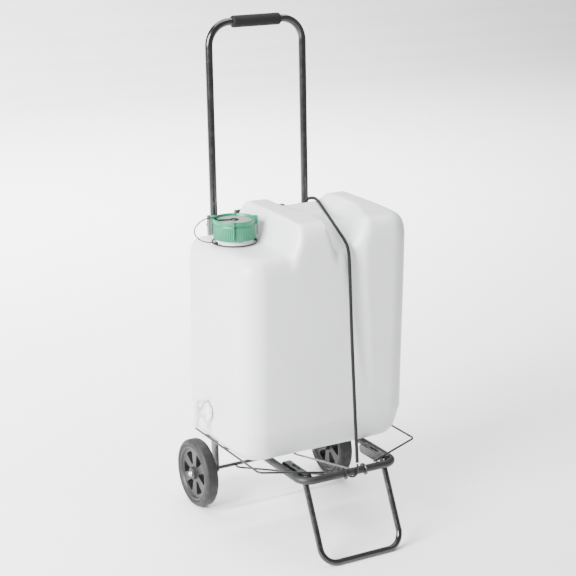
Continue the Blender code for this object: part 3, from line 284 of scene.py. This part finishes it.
def combine(base, others, operation):
    """Boolean of bmeshes, which are used up."""
    target = temp_object(base)
    cutters = [temp_object(bm) for bm in others]
    for cutter in cutters:
        mod = target.modifiers.new("bool", "BOOLEAN")
        mod.operation = operation
        mod.solver = "EXACT"
        mod.object = cutter
    bpy.context.view_layer.update()
    graph = bpy.context.evaluated_depsgraph_get()
    mesh = bpy.data.meshes.new_from_object(target.evaluated_get(graph))
    result = bmesh.new()
    result.from_mesh(mesh)
    for obj in [target, *cutters]:
        bpy.data.objects.remove(obj, do_unlink=True)
    return result


def fillet_path(points, radii, steps=12):
    pts = [Vector(p) for p in points]
    out = [pts[0]]
    for i in range(1, len(pts) - 1):
        a = (pts[i - 1] - pts[i]).normalized()
        b = (pts[i + 1] - pts[i]).normalized()
        angle = a.angle(b)
        radius = radii[i - 1]
        reach = radius / math.tan(angle / 2.0)
        centre = pts[i] + (a + b).normalized() * (radius / math.sin(angle / 2.0))
        start, end = pts[i] + a * reach - centre, pts[i] + b * reach - centre
        turn = start.angle(end)
        for k in range(steps + 1):
            t = k / steps
            w0, w1 = math.sin((1 - t) * turn) / math.sin(turn), math.sin(t * turn) / math.sin(turn)
            out.append(centre + start * w0 + end * w1)
    out.append(pts[-1])
    return out


def smooth_path(points, spacing):
    pts = [Vector(p) for p in points]
    ext = [pts[0] * 2 - pts[1], *pts, pts[-1] * 2 - pts[-2]]
    fine = []
    for i in range(1, len(ext) - 2):
        p0, p1, p2, p3 = ext[i - 1 : i + 3]
        for k in range(24):
            t = k / 24
            fine.append(
                0.5 * (2 * p1 + (p2 - p0) * t + (2 * p0 - 5 * p1 + 4 * p2 - p3) * t * t
                       + (3 * p1 - p0 - 3 * p2 + p3) * t * t * t)
            )
    fine.append(pts[-1])
    total = sum((b - a).length for a, b in zip(fine, fine[1:]))
    count = max(2, round(total / spacing))
    out, walked = [fine[0]], 0.0
    for a, b in zip(fine, fine[1:]):
        step = (b - a).length
        while len(out) < count and walked + step >= len(out) * total / count:
            out.append(a.lerp(b, (len(out) * total / count - walked) / step))
        walked += step
    out.append(fine[-1])
    return out


def sweep(path, r_out, r_in=0.0, sides=28, radii=None, closed=False, rounded=0.0):
    """Rod or tube along a path, with UVs round and along it, and softly rounded solid ends."""
    pts = [Vector(p) for p in path]
    radii = list(radii) if radii else [r_out] * len(pts)
    if rounded > 0.0 and not closed:
        head, tail = [], []
        for step in (0.0, 0.35, 0.7, 0.92):
            drop = r_out - rounded + rounded * math.sqrt(max(0.0, 1 - (1 - step) ** 2))
            head.append((pts[0] + (pts[1] - pts[0]).normalized() * (rounded * step), drop))
            tail.append((pts[-1] + (pts[-2] - pts[-1]).normalized() * (rounded * step), drop))
        pts = [h[0] for h in head] + pts[1:-1] + [t[0] for t in reversed(tail)]
        radii = [h[1] for h in head] + radii[1:-1] + [t[1] for t in reversed(tail)]
    n = len(pts)
    tangents = []
    for i in range(n):
        before = pts[i - 1] if (i > 0 or closed) else pts[i]
        after = pts[(i + 1) % n] if (i < n - 1 or closed) else pts[i]
        fore = (after - pts[i]).normalized() if after != pts[i] else Vector()
        back = (pts[i] - before).normalized() if before != pts[i] else Vector()
        tangents.append((fore + back).normalized())
    helper = Vector((0, 0, 1)) if abs(tangents[0].z) < 0.9 else Vector((1, 0, 0))
    normal = tangents[0].cross(helper).normalized()
    bm = bmesh.new()
    uv = bm.loops.layers.uv.new("UVMap")
    lengths = [0.0]
    frames = []
    for i in range(n):
        if i:
            normal = tangents[i - 1].rotation_difference(tangents[i]) @ normal
            lengths.append(lengths[-1] + (pts[i] - pts[i - 1]).length)
        normal = (normal - tangents[i] * normal.dot(tangents[i])).normalized()
        frames.append((pts[i], normal, tangents[i].cross(normal)))

    def rings(scale_to=None):
        made = []
        for i, (centre, u, v) in enumerate(frames):
            r = radii[i] if scale_to is None else scale_to
            made.append([
                bm.verts.new(centre + u * (r * math.cos(2 * math.pi * k / sides))
                             + v * (r * math.sin(2 * math.pi * k / sides)))
                for k in range(sides)
            ])
        return made

    def skin(made):
        for i in range(n if closed else n - 1):
            a, b = made[i], made[(i + 1) % n]
            end = lengths[i + 1] if i + 1 < n else lengths[i] + (pts[0] - pts[i]).length
            for k in range(sides):
                m = (k + 1) % sides
                face = bm.faces.new((a[k], a[m], b[m], b[k]))
                spots = ((k, lengths[i]), (k + 1, lengths[i]), (k + 1, end), (k, end))
                for loop, (s, t) in zip(face.loops, spots):
                    loop[uv].uv = (s / sides, t / 0.008)

    outer = rings()
    skin(outer)
    if r_in > 0.0:
        inner = rings(r_in)
        skin(inner)
        for a, b in ((outer[0], inner[0]), (outer[-1], inner[-1])):
            for k in range(sides):
                m = (k + 1) % sides
                bm.faces.new((a[k], a[m], b[m], b[k]))
    elif not closed:
        bm.faces.new(outer[0])
        bm.faces.new(outer[-1])
    return bm


def lathe(profile, steps=96, ripple=None):
    """Closed (r, z) loop turned about Z; ripple(index, angle) adds to a point's radius."""
    bm = bmesh.new()
    columns = []
    for i, (r, z) in enumerate(profile):
        if r <= 1e-9:
            columns.append([bm.verts.new((0, 0, z))])
            continue
        ring = []
        for k in range(steps):
            a = 2 * math.pi * k / steps
            rr = r + (ripple(i, a) if ripple else 0.0)
            ring.append(bm.verts.new((rr * math.cos(a), rr * math.sin(a), z)))
        columns.append(ring)
    count = len(columns)
    for i in range(count):
        a, b = columns[i], columns[(i + 1) % count]
        if len(a) == 1 and len(b) == 1:
            continue
        for k in range(steps):
            m = (k + 1) % steps
            if len(a) == 1:
                bm.faces.new((a[0], b[m], b[k]))
            elif len(b) == 1:
                bm.faces.new((a[k], a[m], b[0]))
            else:
                bm.faces.new((a[k], a[m], b[m], b[k]))
    return bm


def soften(profile, radius, steps=3):
    """Round every corner of a (r, z) loop that doesn't lie on the axis."""
    out = []
    count = len(profile)
    for i, p in enumerate(profile):
        here = Vector(p)
        a, b = Vector(profile[i - 1]) - here, Vector(profile[(i + 1) % count]) - here
        cut = min(radius, a.length * 0.45, b.length * 0.45)
        if p[0] <= 1e-9 or cut < 1e-5 or a.angle(b) > math.radians(172):
            out.append(p)
            continue
        start, end = here + a.normalized() * cut, here + b.normalized() * cut
        for k in range(steps + 1):
            t = k / steps
            out.append(tuple(start * (1 - t) ** 2 + here * 2 * t * (1 - t) + end * t * t))
    return out


def prism(outline, low, high):
    bm = bmesh.new()
    bottom = [bm.verts.new((x, y, low)) for x, y in outline]
    top = [bm.verts.new((x, y, high)) for x, y in outline]
    bm.faces.new(bottom)
    bm.faces.new(top)
    for i in range(len(outline)):
        j = (i + 1) % len(outline)
        bm.faces.new((bottom[i], bottom[j], top[j], top[i]))
    return bm


def rounded_rect(w, h, r, steps=5, centre=(0.0, 0.0)):
    out = []
    for cx, cy, start in ((w / 2 - r, h / 2 - r, 0.0), (-w / 2 + r, h / 2 - r, 90.0),
                          (-w / 2 + r, -h / 2 + r, 180.0), (w / 2 - r, -h / 2 + r, 270.0)):
        for k in range(steps + 1):
            a = math.radians(start + 90.0 * k / steps)
            out.append((centre[0] + cx + r * math.cos(a), centre[1] + cy + r * math.sin(a)))
    return out


def disc(radius, low, high, steps=48, bore=0.0, round_off=0.0):
    profile = [(radius, low), (radius, high)]
    profile = [(bore, low), *profile, (bore, high)] if bore > 0.0 else [(0, low), *profile, (0, high)]
    return lathe(soften(profile, round_off) if round_off else profile, steps)


def along_x(x=0.0, y=0.0, z=0.0, flip=False):
    turn = Matrix.Rotation(math.radians(-90.0 if flip else 90.0), 4, "Y")
    return Matrix.Translation((x, y, z)) @ turn


def moved(bm, matrix):
    bmesh.ops.transform(bm, matrix=matrix, verts=bm.verts)
    return bm


def merged(parts):
    """One bmesh holding several closed shells."""
    out = bmesh.new()
    for bm in parts:
        mesh = bpy.data.meshes.new("part")
        bm.to_mesh(mesh)
        bm.free()
        out.from_mesh(mesh)
        bpy.data.meshes.remove(mesh)
    return out


LEAN = Matrix.Translation((0, LEAN_Y0, 0)) @ Matrix.Rotation(math.radians(-LEAN_DEG), 4, "X")


# ------------------------------------------------------------------ canister surface
def smooth_max(a, b, k):
    h = np.maximum(k - np.abs(a - b), 0.0) / k
    return np.maximum(a, b) + h * h * k * 0.25


def ease(x, low, high):
    t = np.clip((x - low) / (high - low), 0.0, 1.0)
    return t * t * (3.0 - 2.0 * t)


def top_height(x, y):
    """Height of the canister's upper face: shoulder, two humps, grip bar, recess in front of it."""
    top = TANK_TOP - 0.004 * ease(-y, 0.15, 0.27) - 0.005 * ease(x, 0.05, 0.12)
    height = TANK_SHOULDER + (top - TANK_SHOULDER) * ease(x, -0.094, -0.062)
    reach = ease(-y, 0.08, 0.20)
    recess_left = ease(x, -0.024 + 0.014 * reach, 0.014 + 0.004 * reach)
    splay = ease(-y, 0.12, 0.27)
    recess_right = 1.0 - ease(x, 0.106 - 0.060 * splay, 0.138 - 0.038 * splay)
    inside = recess_left * recess_right
    front = ease(-y, 0.090, 0.122)
    floor = 0.636 - 0.016 * ease(-y, 0.14, 0.27)
    bar = 0.6605 - 0.006 * ease(-y, 0.045, 0.090)
    return height * (1.0 - inside) + inside * (floor * front + bar * (1.0 - front))


def canister_field(p):
    """Field of the canister's outside, negative within."""
    x, y, z = p[:, 0], p[:, 1], p[:, 2]
    low = np.clip((0.252 - z) / 0.056, 0.0, 1.0)
    half_x = TANK_HX - 0.008 * low - 0.004 * ease(0.60 - z, 0.0, 0.35) * (x > 0)
    front = TANK_FRONT + 0.014 * low
    flute_x = 0.052 + 0.040 * np.clip((0.62 - z) / 0.30, 0.0, 1.0)
    flute_w = 0.030 - 0.018 * np.clip((0.62 - z) / 0.30, 0.0, 1.0)
    flute = np.clip(1.0 - ((x - flute_x) / flute_w) ** 2, 0.0, 1.0) ** 2
    flute = flute * 0.010 * np.clip((z - 0.30) / 0.32, 0.0, 1.0)
    front = front + flute * (y < -0.15)
    mid_y = (front + TANK_BACK) / 2.0
    half_y = (TANK_BACK - front) / 2.0
    radius = np.where(y < mid_y, np.where(x < 0.0, 0.052, 0.050), 0.028)
    qx = np.abs(x) - half_x + radius
    qy = np.abs(y - mid_y) - half_y + radius
    side = np.hypot(np.maximum(qx, 0.0), np.maximum(qy, 0.0))
    side = side + np.minimum(np.maximum(qx, qy), 0.0) - radius
    roof = (z - top_height(x, y)) * 0.75
    base = TANK_Z0 - z
    return smooth_max(smooth_max(side, roof, ROOF_K), base, BASE_K)


def canister_skin(inset, counts):
    """Closed quad skin of the canister, found along rays from its middle."""
    centre = np.array([0.004, -0.145, 0.430])
    half = np.array([0.19, 0.125, 0.235])
    verts, index, keys = [], {}, []

    def vert(key):
        if key not in index:
            index[key] = len(keys)
            keys.append(key)
        return index[key]

    faces = []
    for ax in range(3):
        others = [i for i in range(3) if i != ax]
        na, nb = counts[others[0]], counts[others[1]]
        for level in (0, counts[ax]):
            for i in range(na):
                for j in range(nb):
                    quad = []
                    for di, dj in ((0, 0), (1, 0), (1, 1), (0, 1)):
                        key = [0, 0, 0]
                        key[ax], key[others[0]], key[others[1]] = level, i + di, j + dj
                        quad.append(vert(tuple(key)))
                    faces.append(quad)
    unit = np.array(keys) / np.array(counts) * 2.0 - 1.0
    unit = np.sign(unit) * np.abs(unit) ** 0.92
    direction = unit * half
    direction /= np.linalg.norm(direction, axis=1)[:, None]

    def field(points):
        value = canister_field(points)
        if inset <= 0.0:
            return value
        grad = np.zeros_like(points)
        for axis in range(3):
            off = np.zeros(3)
            off[axis] = 0.0005
            grad[:, axis] = (canister_field(points + off) - canister_field(points - off)) / 0.001
        return value / np.maximum(np.linalg.norm(grad, axis=1), 0.3) + inset

    near, far = np.zeros(len(keys)), np.full(len(keys), 0.42)
    for _ in range(36):
        mid = (near + far) / 2.0
        out = field(centre + direction * mid[:, None]) > 0.0
        far = np.where(out, mid, far)
        near = np.where(out, near, mid)
    points = centre + direction * far[:, None]
    bm = bmesh.new()
    made = [bm.verts.new(p) for p in points]
    for quad in faces:
        bm.faces.new([made[i] for i in quad])
    bmesh.ops.recalc_face_normals(bm, faces=bm.faces)
    return bm


def sunk_inside(inner, outer, wall):
    """Move an inner skin inwards until its faces lie nearly a wall's thickness within the outer."""
    tree = BVHTree.FromBMesh(outer)
    for _ in range(30):
        settled = True
        for face in inner.faces:
            verts = list(face.verts)
            points = [v.co.copy() for v in verts] + [face.calc_center_median()]
            points += [(a.co + b.co) / 2 for a, b in zip(verts, verts[1:] + verts[:1])]
            for point in points:
                near, normal, _, _ = tree.find_nearest(point)
                depth = (point - near).dot(normal) + wall * 0.8
                if depth > 0.0:
                    settled = False
                    for vert in verts:
                        vert.co -= normal * depth * 0.6
        if settled:
            break
    return inner


# ------------------------------------------------------------------ pieces
def build_canister():
    place = Matrix.Translation((NECK_X, NECK_Y, 0))
    outer = canister_skin(0.0, (72, 48, 80))
    inner = sunk_inside(canister_skin(TANK_WALL, (24, 16, 26)), outer, TANK_WALL)
    seat = moved(disc(0.0492, 0.6185, 0.7200, 64), place)
    neck_profile = [(0, 0.6100), (NECK_R, 0.6100)]
    for k in range(4):
        z = 0.6260 + 0.0070 * k
        neck_profile += [(NECK_R - 0.0006, z), (NECK_R + 0.0010, z + 0.0012), (NECK_R + 0.0010, z + 0.0026),
                         (NECK_R - 0.0006, z + 0.0038)]
    neck_profile += [(NECK_R - 0.0006, NECK_TOP), (0, NECK_TOP)]
    neck = moved(lathe(neck_profile, 64), place)
    boss = moved(disc(0.0215, -0.0040, 0.0010, 48), along_x(-TANK_HX, TAP_Y, TAP_Z, True))
    shell = combine(combine(outer, [seat], "DIFFERENCE"), [neck, boss], "UNION")
    inner = combine(inner, [moved(disc(0.0522, 0.6155, 0.7200, 48), place)], "DIFFERENCE")
    bore = moved(disc(NECK_BORE, 0.5900, NECK_TOP + 0.01, 48), place)
    shell = combine(shell, [inner, bore], "DIFFERENCE")
    piece("canister_body_shell", shell, "hdpe", "canister_body", "canister", sharp=40,
          tone="natural_polyethylene")


def build_cap():
    centre = Vector((NECK_X, NECK_Y, 0))
    turn = Matrix.Translation(centre) @ Matrix.Rotation(CAP_ANGLE, 4, "Z")
    profile = soften(
        [(0.0040, 0.6602), (0.0386, 0.6602), (0.0386, 0.6290), (0.0420, 0.6290), (0.0425, 0.6300),
         (0.0425, 0.6575), (0.0412, 0.6595), (0.0412, 0.6622), (0.0437, 0.6632), (0.0437, 0.6690),
         (0.0428, 0.6700), (0.0402, 0.6700), (0.0392, 0.6650), (0.0040, 0.6650)], 0.0006, 2
    )

    def ripple(i, angle):
        r, z = profile[i]
        if 0.6285 < z < 0.6570 and r > 0.0415:
            return 0.00055 * max(-0.6, math.cos(72 * angle))
        return 0.0

    cap = lathe(profile, 432, ripple)
    lugs = []
    for k in range(4):
        arm = prism(rounded_rect(0.0100, 0.0038, 0.0012, 3, (0.0430, 0.0)), 0.6350, 0.6755)
        gap = prism(rounded_rect(0.0020, 0.0200, 0.0006, 2, (0.0440, 0.0)), 0.6200, 0.6580)
        arm = combine(arm, [gap], "DIFFERENCE")
        keen = [e for e in arm.edges if e.calc_face_angle(0.0) > 0.6]
        bmesh.ops.bevel(arm, geom=keen, offset=0.0005, segments=2, affect="EDGES", clamp_overlap=True)
        lugs.append(moved(arm, Matrix.Rotation(math.radians(90 * k), 4, "Z")))
    cap = combine(cap, lugs, "UNION")
    piece("cap_shell", cap, "green", "cap", "screw_cap", matrix=turn, sharp=30, tone="green_moulded_plastic")
    plate = lathe(soften([(0.0046, 0.66505), (0.0360, 0.66505), (0.0360, 0.6654), (0.0300, 0.66575),
                          (0.0240, 0.66545), (0.0120, 0.66555), (0.0046, 0.66555)], 0.0002, 2), 96)
    piece("cap_plate", plate, "grey", "cap", matrix=turn, tone="black_moulded_plastic")

    swing = Matrix.Translation(centre) @ Matrix.Rotation(TETHER_ANGLE - math.pi, 4, "Z")
    button = lathe(soften(
        [(0, 0.6590), (0.0052, 0.6590), (0.0052, 0.6597), (0.0036, 0.6597), (0.0036, 0.6658),
         (0.0086, 0.6658), (0.0088, 0.6672), (0.0074, 0.6686), (0, 0.6690)], 0.0004), 48)
    strap = prism(rounded_rect(0.0330, 0.0084, 0.0035, 5, (-0.0190, 0.0)), 0.6660, 0.6676)
    keen = [e for e in strap.edges if e.calc_face_angle(0.0) > 0.9]
    bmesh.ops.bevel(strap, geom=keen, offset=0.0004, segments=2, affect="EDGES", clamp_overlap=True)
    button = combine(button, [strap], "UNION")
    piece("tether_snap", button, "soft", "cap_swivel", "tether_button", matrix=swing, sharp=30,
          tone="black_soft_plastic")

    ring = [(NECK_X + 0.0453 * math.cos(a), NECK_Y + 0.0453 * math.sin(a), 0.6210)
            for a in (2 * math.pi * k / 96 for k in range(96))]
    piece("neck_ring", sweep(ring, 0.0017, 0, 16, closed=True), "soft", "canister_body", "tether_ring",
          tone="black_soft_plastic")
    left = Vector((math.cos(TETHER_ANGLE), math.sin(TETHER_ANGLE), 0))
    toward = Vector((-left.y, left.x, 0))
    knot = centre + left * 0.0400 + toward * 0.0225
    knot.z = 0.6245
    route = [(0.0350, 0.0, 0.6668), (0.0376, 0.0, 0.6690), (0.0392, 0.0, 0.6711), (0.0430, 0.0, 0.6722),
             (0.0500, 0.0, 0.6720), (0.0640, 0.001, 0.6690), (0.0790, 0.003, 0.6570),
             (0.0830, 0.007, 0.6440), (0.0760, 0.012, 0.6330), (0.0640, 0.017, 0.6275)]
    path = [centre + left * a + toward * b + Vector((0, 0, z)) for a, b, z in route]
    path.append(knot + left * 0.0070 - toward * 0.0015 + Vector((0, 0, 0.0008)))
    piece("tether_leash", sweep(smooth_path(path, 0.0016), 0.00125, 0, 14), "soft", "canister_body",
          "tether_cord", tone="black_soft_plastic")
    out = (left + toward * 0.55).normalized()
    blob = sweep([knot + out * d for d in (-0.0022, -0.0016, 0.0, 0.0020, 0.0040, 0.0058, 0.0074, 0.0086)],
                 0.003, 0, 20, radii=[0.0010, 0.0024, 0.0031, 0.0032, 0.0030, 0.0022, 0.0016, 0.0012])
    piece("tether_joint", blob, "soft", "canister_body", "tether_connector", tone="black_soft_plastic")


def build_tap():
    wall = -TANK_HX - 0.0010
    reach = wall - TAP_X
    profile = soften(
        [(0.0052, -0.0145), (0.0079, -0.0145), (0.0079, 0.0026), (0.0205, 0.0026), (0.0205, 0.0090),
         (0.0185, 0.0104), (0.0125, 0.0108), (0.0118, 0.0150), (0.0102, 0.0160), (0.0100, reach),
         (0.0052, reach)], 0.0008, 3)

    def ripple(i, angle):
        r, z = profile[i]
        if r > 0.0182 and 0.0024 < z < 0.0102:
            return -0.0014 * max(0.0, math.cos(8 * angle)) ** 3
        return 0.0

    stem = moved(lathe(profile, 128, ripple), along_x(wall, TAP_Y, TAP_Z, True))
    barrel = lathe(soften(
        [(0.0, -0.0300), (0.0072, -0.0300), (0.0078, -0.0240), (0.0094, -0.0140), (0.0103, -0.0100),
         (0.0103, 0.0140), (0.0095, 0.0160), (0.0, 0.0160)], 0.0006), 64)
    body = combine(moved(barrel, Matrix.Translation((TAP_X, TAP_Y, TAP_Z))), [stem], "UNION")
    hollow = Matrix.Translation((TAP_X, TAP_Y, TAP_Z))
    body = combine(body, [moved(disc(0.0067, -0.0080, 0.0300), hollow),
                          moved(disc(0.0051, -0.0400, 0.0000), hollow)], "DIFFERENCE")
    piece("tap_housing", body, "white", "canister_body", "tap_body", sharp=32, tone="white_moulded_plastic")
    plug = disc(0.0064, -0.0075, 0.0240, 48)
    wing = prism(rounded_rect(0.0360, 0.0086, 0.0040, 6, (0.0085, 0.0)), 0.0236, 0.0282)
    keen = [e for e in wing.edges if e.calc_face_angle(0.0) > 0.9]
    bmesh.ops.bevel(wing, geom=keen, offset=0.0010, segments=3, affect="EDGES", clamp_overlap=True)
    crown = lathe(soften([(0, 0.0163), (0.0088, 0.0163), (0.0088, 0.0220), (0.0075, 0.0295), (0, 0.0305)],
                         0.0012), 48)
    plug = combine(plug, [wing, crown], "UNION")
    piece("tap_handle", plug, "white", "tap", "tap_lever", matrix=hollow, sharp=32,
          tone="white_moulded_plastic")


def build_wheels():
    for side, name in ((-1, "left"), (1, "right")):
        half = WHEEL_W / 2
        place = along_x(side * WHEEL_X, 0, WHEEL_R, side < 0)
        tyre = lathe(soften(
            [(0.0622, -half + 0.0012), (0.0665, -half + 0.0002), (0.0712, -half + 0.0014),
             (WHEEL_R - 0.0010, -half + 0.0048), (WHEEL_R, -half + 0.0075), (WHEEL_R, half - 0.0075),
             (WHEEL_R - 0.0010, half - 0.0048), (0.0712, half - 0.0014), (0.0665, half - 0.0002),
             (0.0622, half - 0.0012)], 0.0016, 3), 128)
        piece(f"tyre_{name}", tyre, "tyre", f"wheel_{name}", f"wheel_tyre_{name}", matrix=place,
              tone="black_wheel_tread")
        edge = 0.0621
        rim = lathe(soften(
            [(0.00412, -half - 0.0035), (0.0118, -half - 0.0035), (0.0128, -half - 0.0025),
             (0.0138, -half + 0.0065), (0.0160, -half + 0.0075), (0.0540, -half + 0.0062),
             (0.0562, -half + 0.0020), (0.0600, -half + 0.0010), (edge, -half + 0.0022),
             (edge, half - 0.0022), (0.0600, half - 0.0010), (0.0562, half - 0.0020),
             (0.0540, half - 0.0062), (0.0160, half - 0.0075), (0.0138, half - 0.0065),
             (0.0128, half + 0.0002), (0.0118, half + 0.0006), (0.00412, half + 0.0006)], 0.0009, 2), 96)
        pockets = []
        for k in range(SPOKES):
            block = prism(wedge_outline(), -0.05, 0.05)
            turn = math.radians(360 / SPOKES * (k + 0.5))
            pockets.append(moved(block, Matrix.Rotation(turn, 4, "Z")))
        rim = combine(rim, pockets, "DIFFERENCE")
        piece(f"rim_{name}", rim, "plastic", f"wheel_{name}", f"wheel_hub_{name}", matrix=place, sharp=30,
              bevel=0.0004, tone="black_moulded_plastic")


def wedge_outline():
    """Rounded triangle of one opening between two spokes, in the wheel's plane."""
    corners = [
        (0.0235, 0.0, 113.0, 247.0),
        (0.0435, 0.0085, 0.0, 113.0),
        (0.0435, -0.0085, -113.0, 0.0),
    ]
    out = []
    for cx, cy, first, last in corners:
        for k in range(9):
            a = math.radians(first + (last - first) * k / 8)
            out.append((cx + POCKET_R * math.cos(a), cy + POCKET_R * math.sin(a)))
    centre = (sum(p[0] for p in out) / len(out), sum(p[1] for p in out) / len(out))
    return sorted(out, key=lambda p: math.atan2(p[1] - centre[1], p[0] - centre[0]))


def build_tubes():
    path = fillet_path(
        [(-TUBE_X, 0, HANDLE_LOW), (-TUBE_X, 0, HANDLE_TOP), (TUBE_X, 0, HANDLE_TOP),
         (TUBE_X, 0, HANDLE_LOW)],
        [HANDLE_BEND, HANDLE_BEND], 18)
    piece("handle_bow", sweep(path, HANDLE_R, HANDLE_R - HANDLE_WALL, 32), "steel", "handle",
          "handle_tube", matrix=LEAN, tone="black_powder_coated_steel")
    bore, half, r = 0.0083, 0.057, 0.0127
    grip = lathe(soften([(bore, -half), (0.0100, -half), (r, -half + 0.0026), (r, half - 0.0026),
                         (0.0100, half), (bore, half)], 0.0012, 3), 64)
    piece("handle_sleeve", grip, "foam", "handle", "handle_grip", matrix=LEAN @ along_x(0, 0, HANDLE_TOP),
          tone="black_grip_sleeve")
    path = fillet_path(
        [(-RAIL_X, RAIL_BACK, RAIL_Z), (-RAIL_X, BAR_Y, RAIL_Z), (RAIL_X, BAR_Y, RAIL_Z),
         (RAIL_X, RAIL_BACK, RAIL_Z)], [BAR_BEND, BAR_BEND], 16)
    piece("platform_bow", sweep(path, RAIL_R, RAIL_R - 0.0013, 32), "platform", "platform",
          "platform_frame", tone="black_powder_coated_steel")
    foot_z = LEG_R + 0.0002
    down = Vector((0, LEG_FOOT_Y - LEG_PIVOT_Y, foot_z - LEG_PIVOT_Z)).normalized()
    tops = [Vector((s * LEG_X, LEG_PIVOT_Y, LEG_PIVOT_Z)) - down * 0.0038 for s in (-1, 1)]
    path = fillet_path(
        [tops[0], (-LEG_X, LEG_FOOT_Y, foot_z), (LEG_X, LEG_FOOT_Y, foot_z), tops[1]], [0.034, 0.034], 16)
    piece("leg_bow", sweep(path, LEG_R, LEG_R - 0.0012, 28), "steel", "leg", "front_leg",
          tone="black_powder_coated_steel")
    end_y, end_z = BAR_Y + 0.0022, RAIL_Z + RAIL_R + WIRE_R + 0.0003
    wires = []
    for side in (-1, 1):
        x = side * RACK_X
        edge = fillet_path([(side * 0.058, end_y, end_z), (x, RACK_FRONT, RACK_Z), (x, RACK_BACK, RACK_Z)],
                           [0.012], 10)
        wires.append(sweep(edge, WIRE_R, 0, 16, rounded=0.0018))
    for y in (-0.070, -0.150):
        bar = fillet_path(
            [(-RACK_X, y, RACK_Z), (-BAR_FLAT_X, y, BAR_Z), (BAR_FLAT_X, y, BAR_Z), (RACK_X, y, RACK_Z)],
            [0.02, 0.02], 5)
        wires.append(sweep(bar, WIRE_R, 0, 16))
    piece("rack_wires", merged(wires), "wire", "platform", "wire_rack", tone="black_coated_wire")


def build_bungee():
    route = [
        (0.0860, -0.0030, 0.6300), (0.0915, -0.0042, 0.6480), (0.0990, -0.0105, 0.6590),
        (0.1030, -0.0260, 0.6646), (0.1010, -0.0480, 0.6650), (0.0915, -0.0850, 0.6590),
        (0.0710, -0.1560, 0.6475), (0.0530, -0.2180, 0.6370), (0.0450, -0.2520, 0.6285),
        (0.0425, -0.2705, 0.6120), (0.0400, -0.2800, 0.5740), (0.0314, -0.3040, 0.4500),
        (0.0216, -0.3340, 0.3050), (0.0134, -0.3595, 0.1895),
    ]
    path = smooth_path(route, 0.004)
    skin = canister_skin(0.0, (48, 32, 54))
    tree = BVHTree.FromBMesh(skin)
    for _ in range(10):
        for i, point in enumerate(path):
            near, normal, _, _ = tree.find_nearest(point)
            depth = BUNGEE_R + 0.0002 - (point - near).dot(normal)
            if depth > 0.0:
                path[i] = point + normal * depth
    for _ in range(3):
        path = [path[0], *[(a + b * 2 + c) / 4 for a, b, c in zip(path, path[1:], path[2:])], path[-1]]
    skin.free()
    piece("strap_cord", sweep(path, BUNGEE_R, 0, 20), "cord", "canister_body", "bungee_cord",
          tone="black_elastic_cord")


def finish_nodes():
    """Better materials on the CAD nodes that stay in view."""
    table = {
        "steel": ["outer_tube", "axle_plate", "inner_plate", "axle", "leg_channel"],
        "wire": ["stay_wire"],
        "zinc": ["pivot_pin", "frame_rivet", "axle_cap", "leg_pin"],
        "plastic": ["axle_spacer", "top_bridge", "release_button", "rail_end", "rail_pad"],
        "soft": ["bungee_hook"],
        "rubber": ["cap_gasket", "tap_washer"],
        "white": ["tap_inner_nut"],
    }
    material_of = {stem: mat for mat, stems in table.items() for stem in stems}
    for name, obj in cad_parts.items():
        found = [stem for stem in material_of if name == stem or name.startswith(stem + "_")]
        if found:
            obj.data.materials.clear()
            obj.data.materials.append(MATS[material_of[max(found, key=len)]])


# ------------------------------------------------------------------ studio
def area_light(name, place, aim, size, power, colour=(1, 1, 1)):
    data = bpy.data.lights.new(name, "AREA")
    data.shape = "RECTANGLE"
    data.size, data.size_y = size
    data.energy = power
    data.color = colour
    obj = bpy.data.objects.new(name, data)
    obj.location = place
    obj.rotation_euler = (Vector(aim) - Vector(place)).to_track_quat("-Z", "Y").to_euler()
    bpy.context.scene.collection.objects.link(obj)


def build_studio():
    bm = bmesh.new()
    rows = []
    for i in range(41):
        t = i / 40
        y = -5.0 + 14.0 * t
        z = 0.0 if y < 5.0 else (y - 5.0) ** 2 * 0.14
        rows.append([bm.verts.new((x, y, z)) for x in np.linspace(-8.0, 8.0, 21)])
    for a, b in zip(rows, rows[1:]):
        for k in range(20):
            bm.faces.new((a[k], a[k + 1], b[k + 1], b[k]))
    mesh = bpy.data.meshes.new("studio_floor")
    bm.to_mesh(mesh)
    bm.free()
    mesh.materials.append(MATS["floor"])
    floor = bpy.data.objects.new("studio_floor", mesh)
    bpy.context.scene.collection.objects.link(floor)

    world = bpy.data.worlds.new("studio_world")
    world.use_nodes = True
    back = world.node_tree.nodes["Background"]
    back.inputs["Color"].default_value = (1.0, 1.0, 1.0, 1.0)
    back.inputs["Strength"].default_value = 0.42
    bpy.context.scene.world = world
    area_light("key_light", (-3.0, -0.9, 2.0), (0.0, 0.0, 0.45), (2.0, 2.0), 520.0)
    area_light("backdrop_light", (0.0, 2.6, 3.4), (0.0, 6.0, 0.0), (5.0, 2.0), 1200.0)
    area_light("fill_light", (2.4, -2.6, 1.6), (0.0, 0.0, 0.4), (2.0, 2.0), 8.0, (1.0, 0.95, 0.88))
    area_light("top_light", (0.2, 0.4, 3.0), (0.0, 0.0, 0.4), (2.4, 2.4), 110.0)


def build_camera():
    level = math.cos(CAMERA_ELEVATION)
    offset = Vector((math.sin(CAMERA_AZIMUTH) * level, -math.cos(CAMERA_AZIMUTH) * level,
                     math.sin(CAMERA_ELEVATION)))
    data = bpy.data.cameras.new("photo_camera")
    data.sensor_width = 36.0
    data.lens = CAMERA_LENS
    obj = bpy.data.objects.new("photo_camera", data)
    obj.location = CAMERA_TARGET + SHIFT + offset * CAMERA_DISTANCE
    obj.rotation_euler = (-offset).to_track_quat("-Z", "Y").to_euler()
    bpy.context.scene.collection.objects.link(obj)
    bpy.context.scene.camera = obj


build_camera()
build_canister()
build_cap()
build_tap()
build_wheels()
build_tubes()
build_bungee()
finish_nodes()
build_studio()
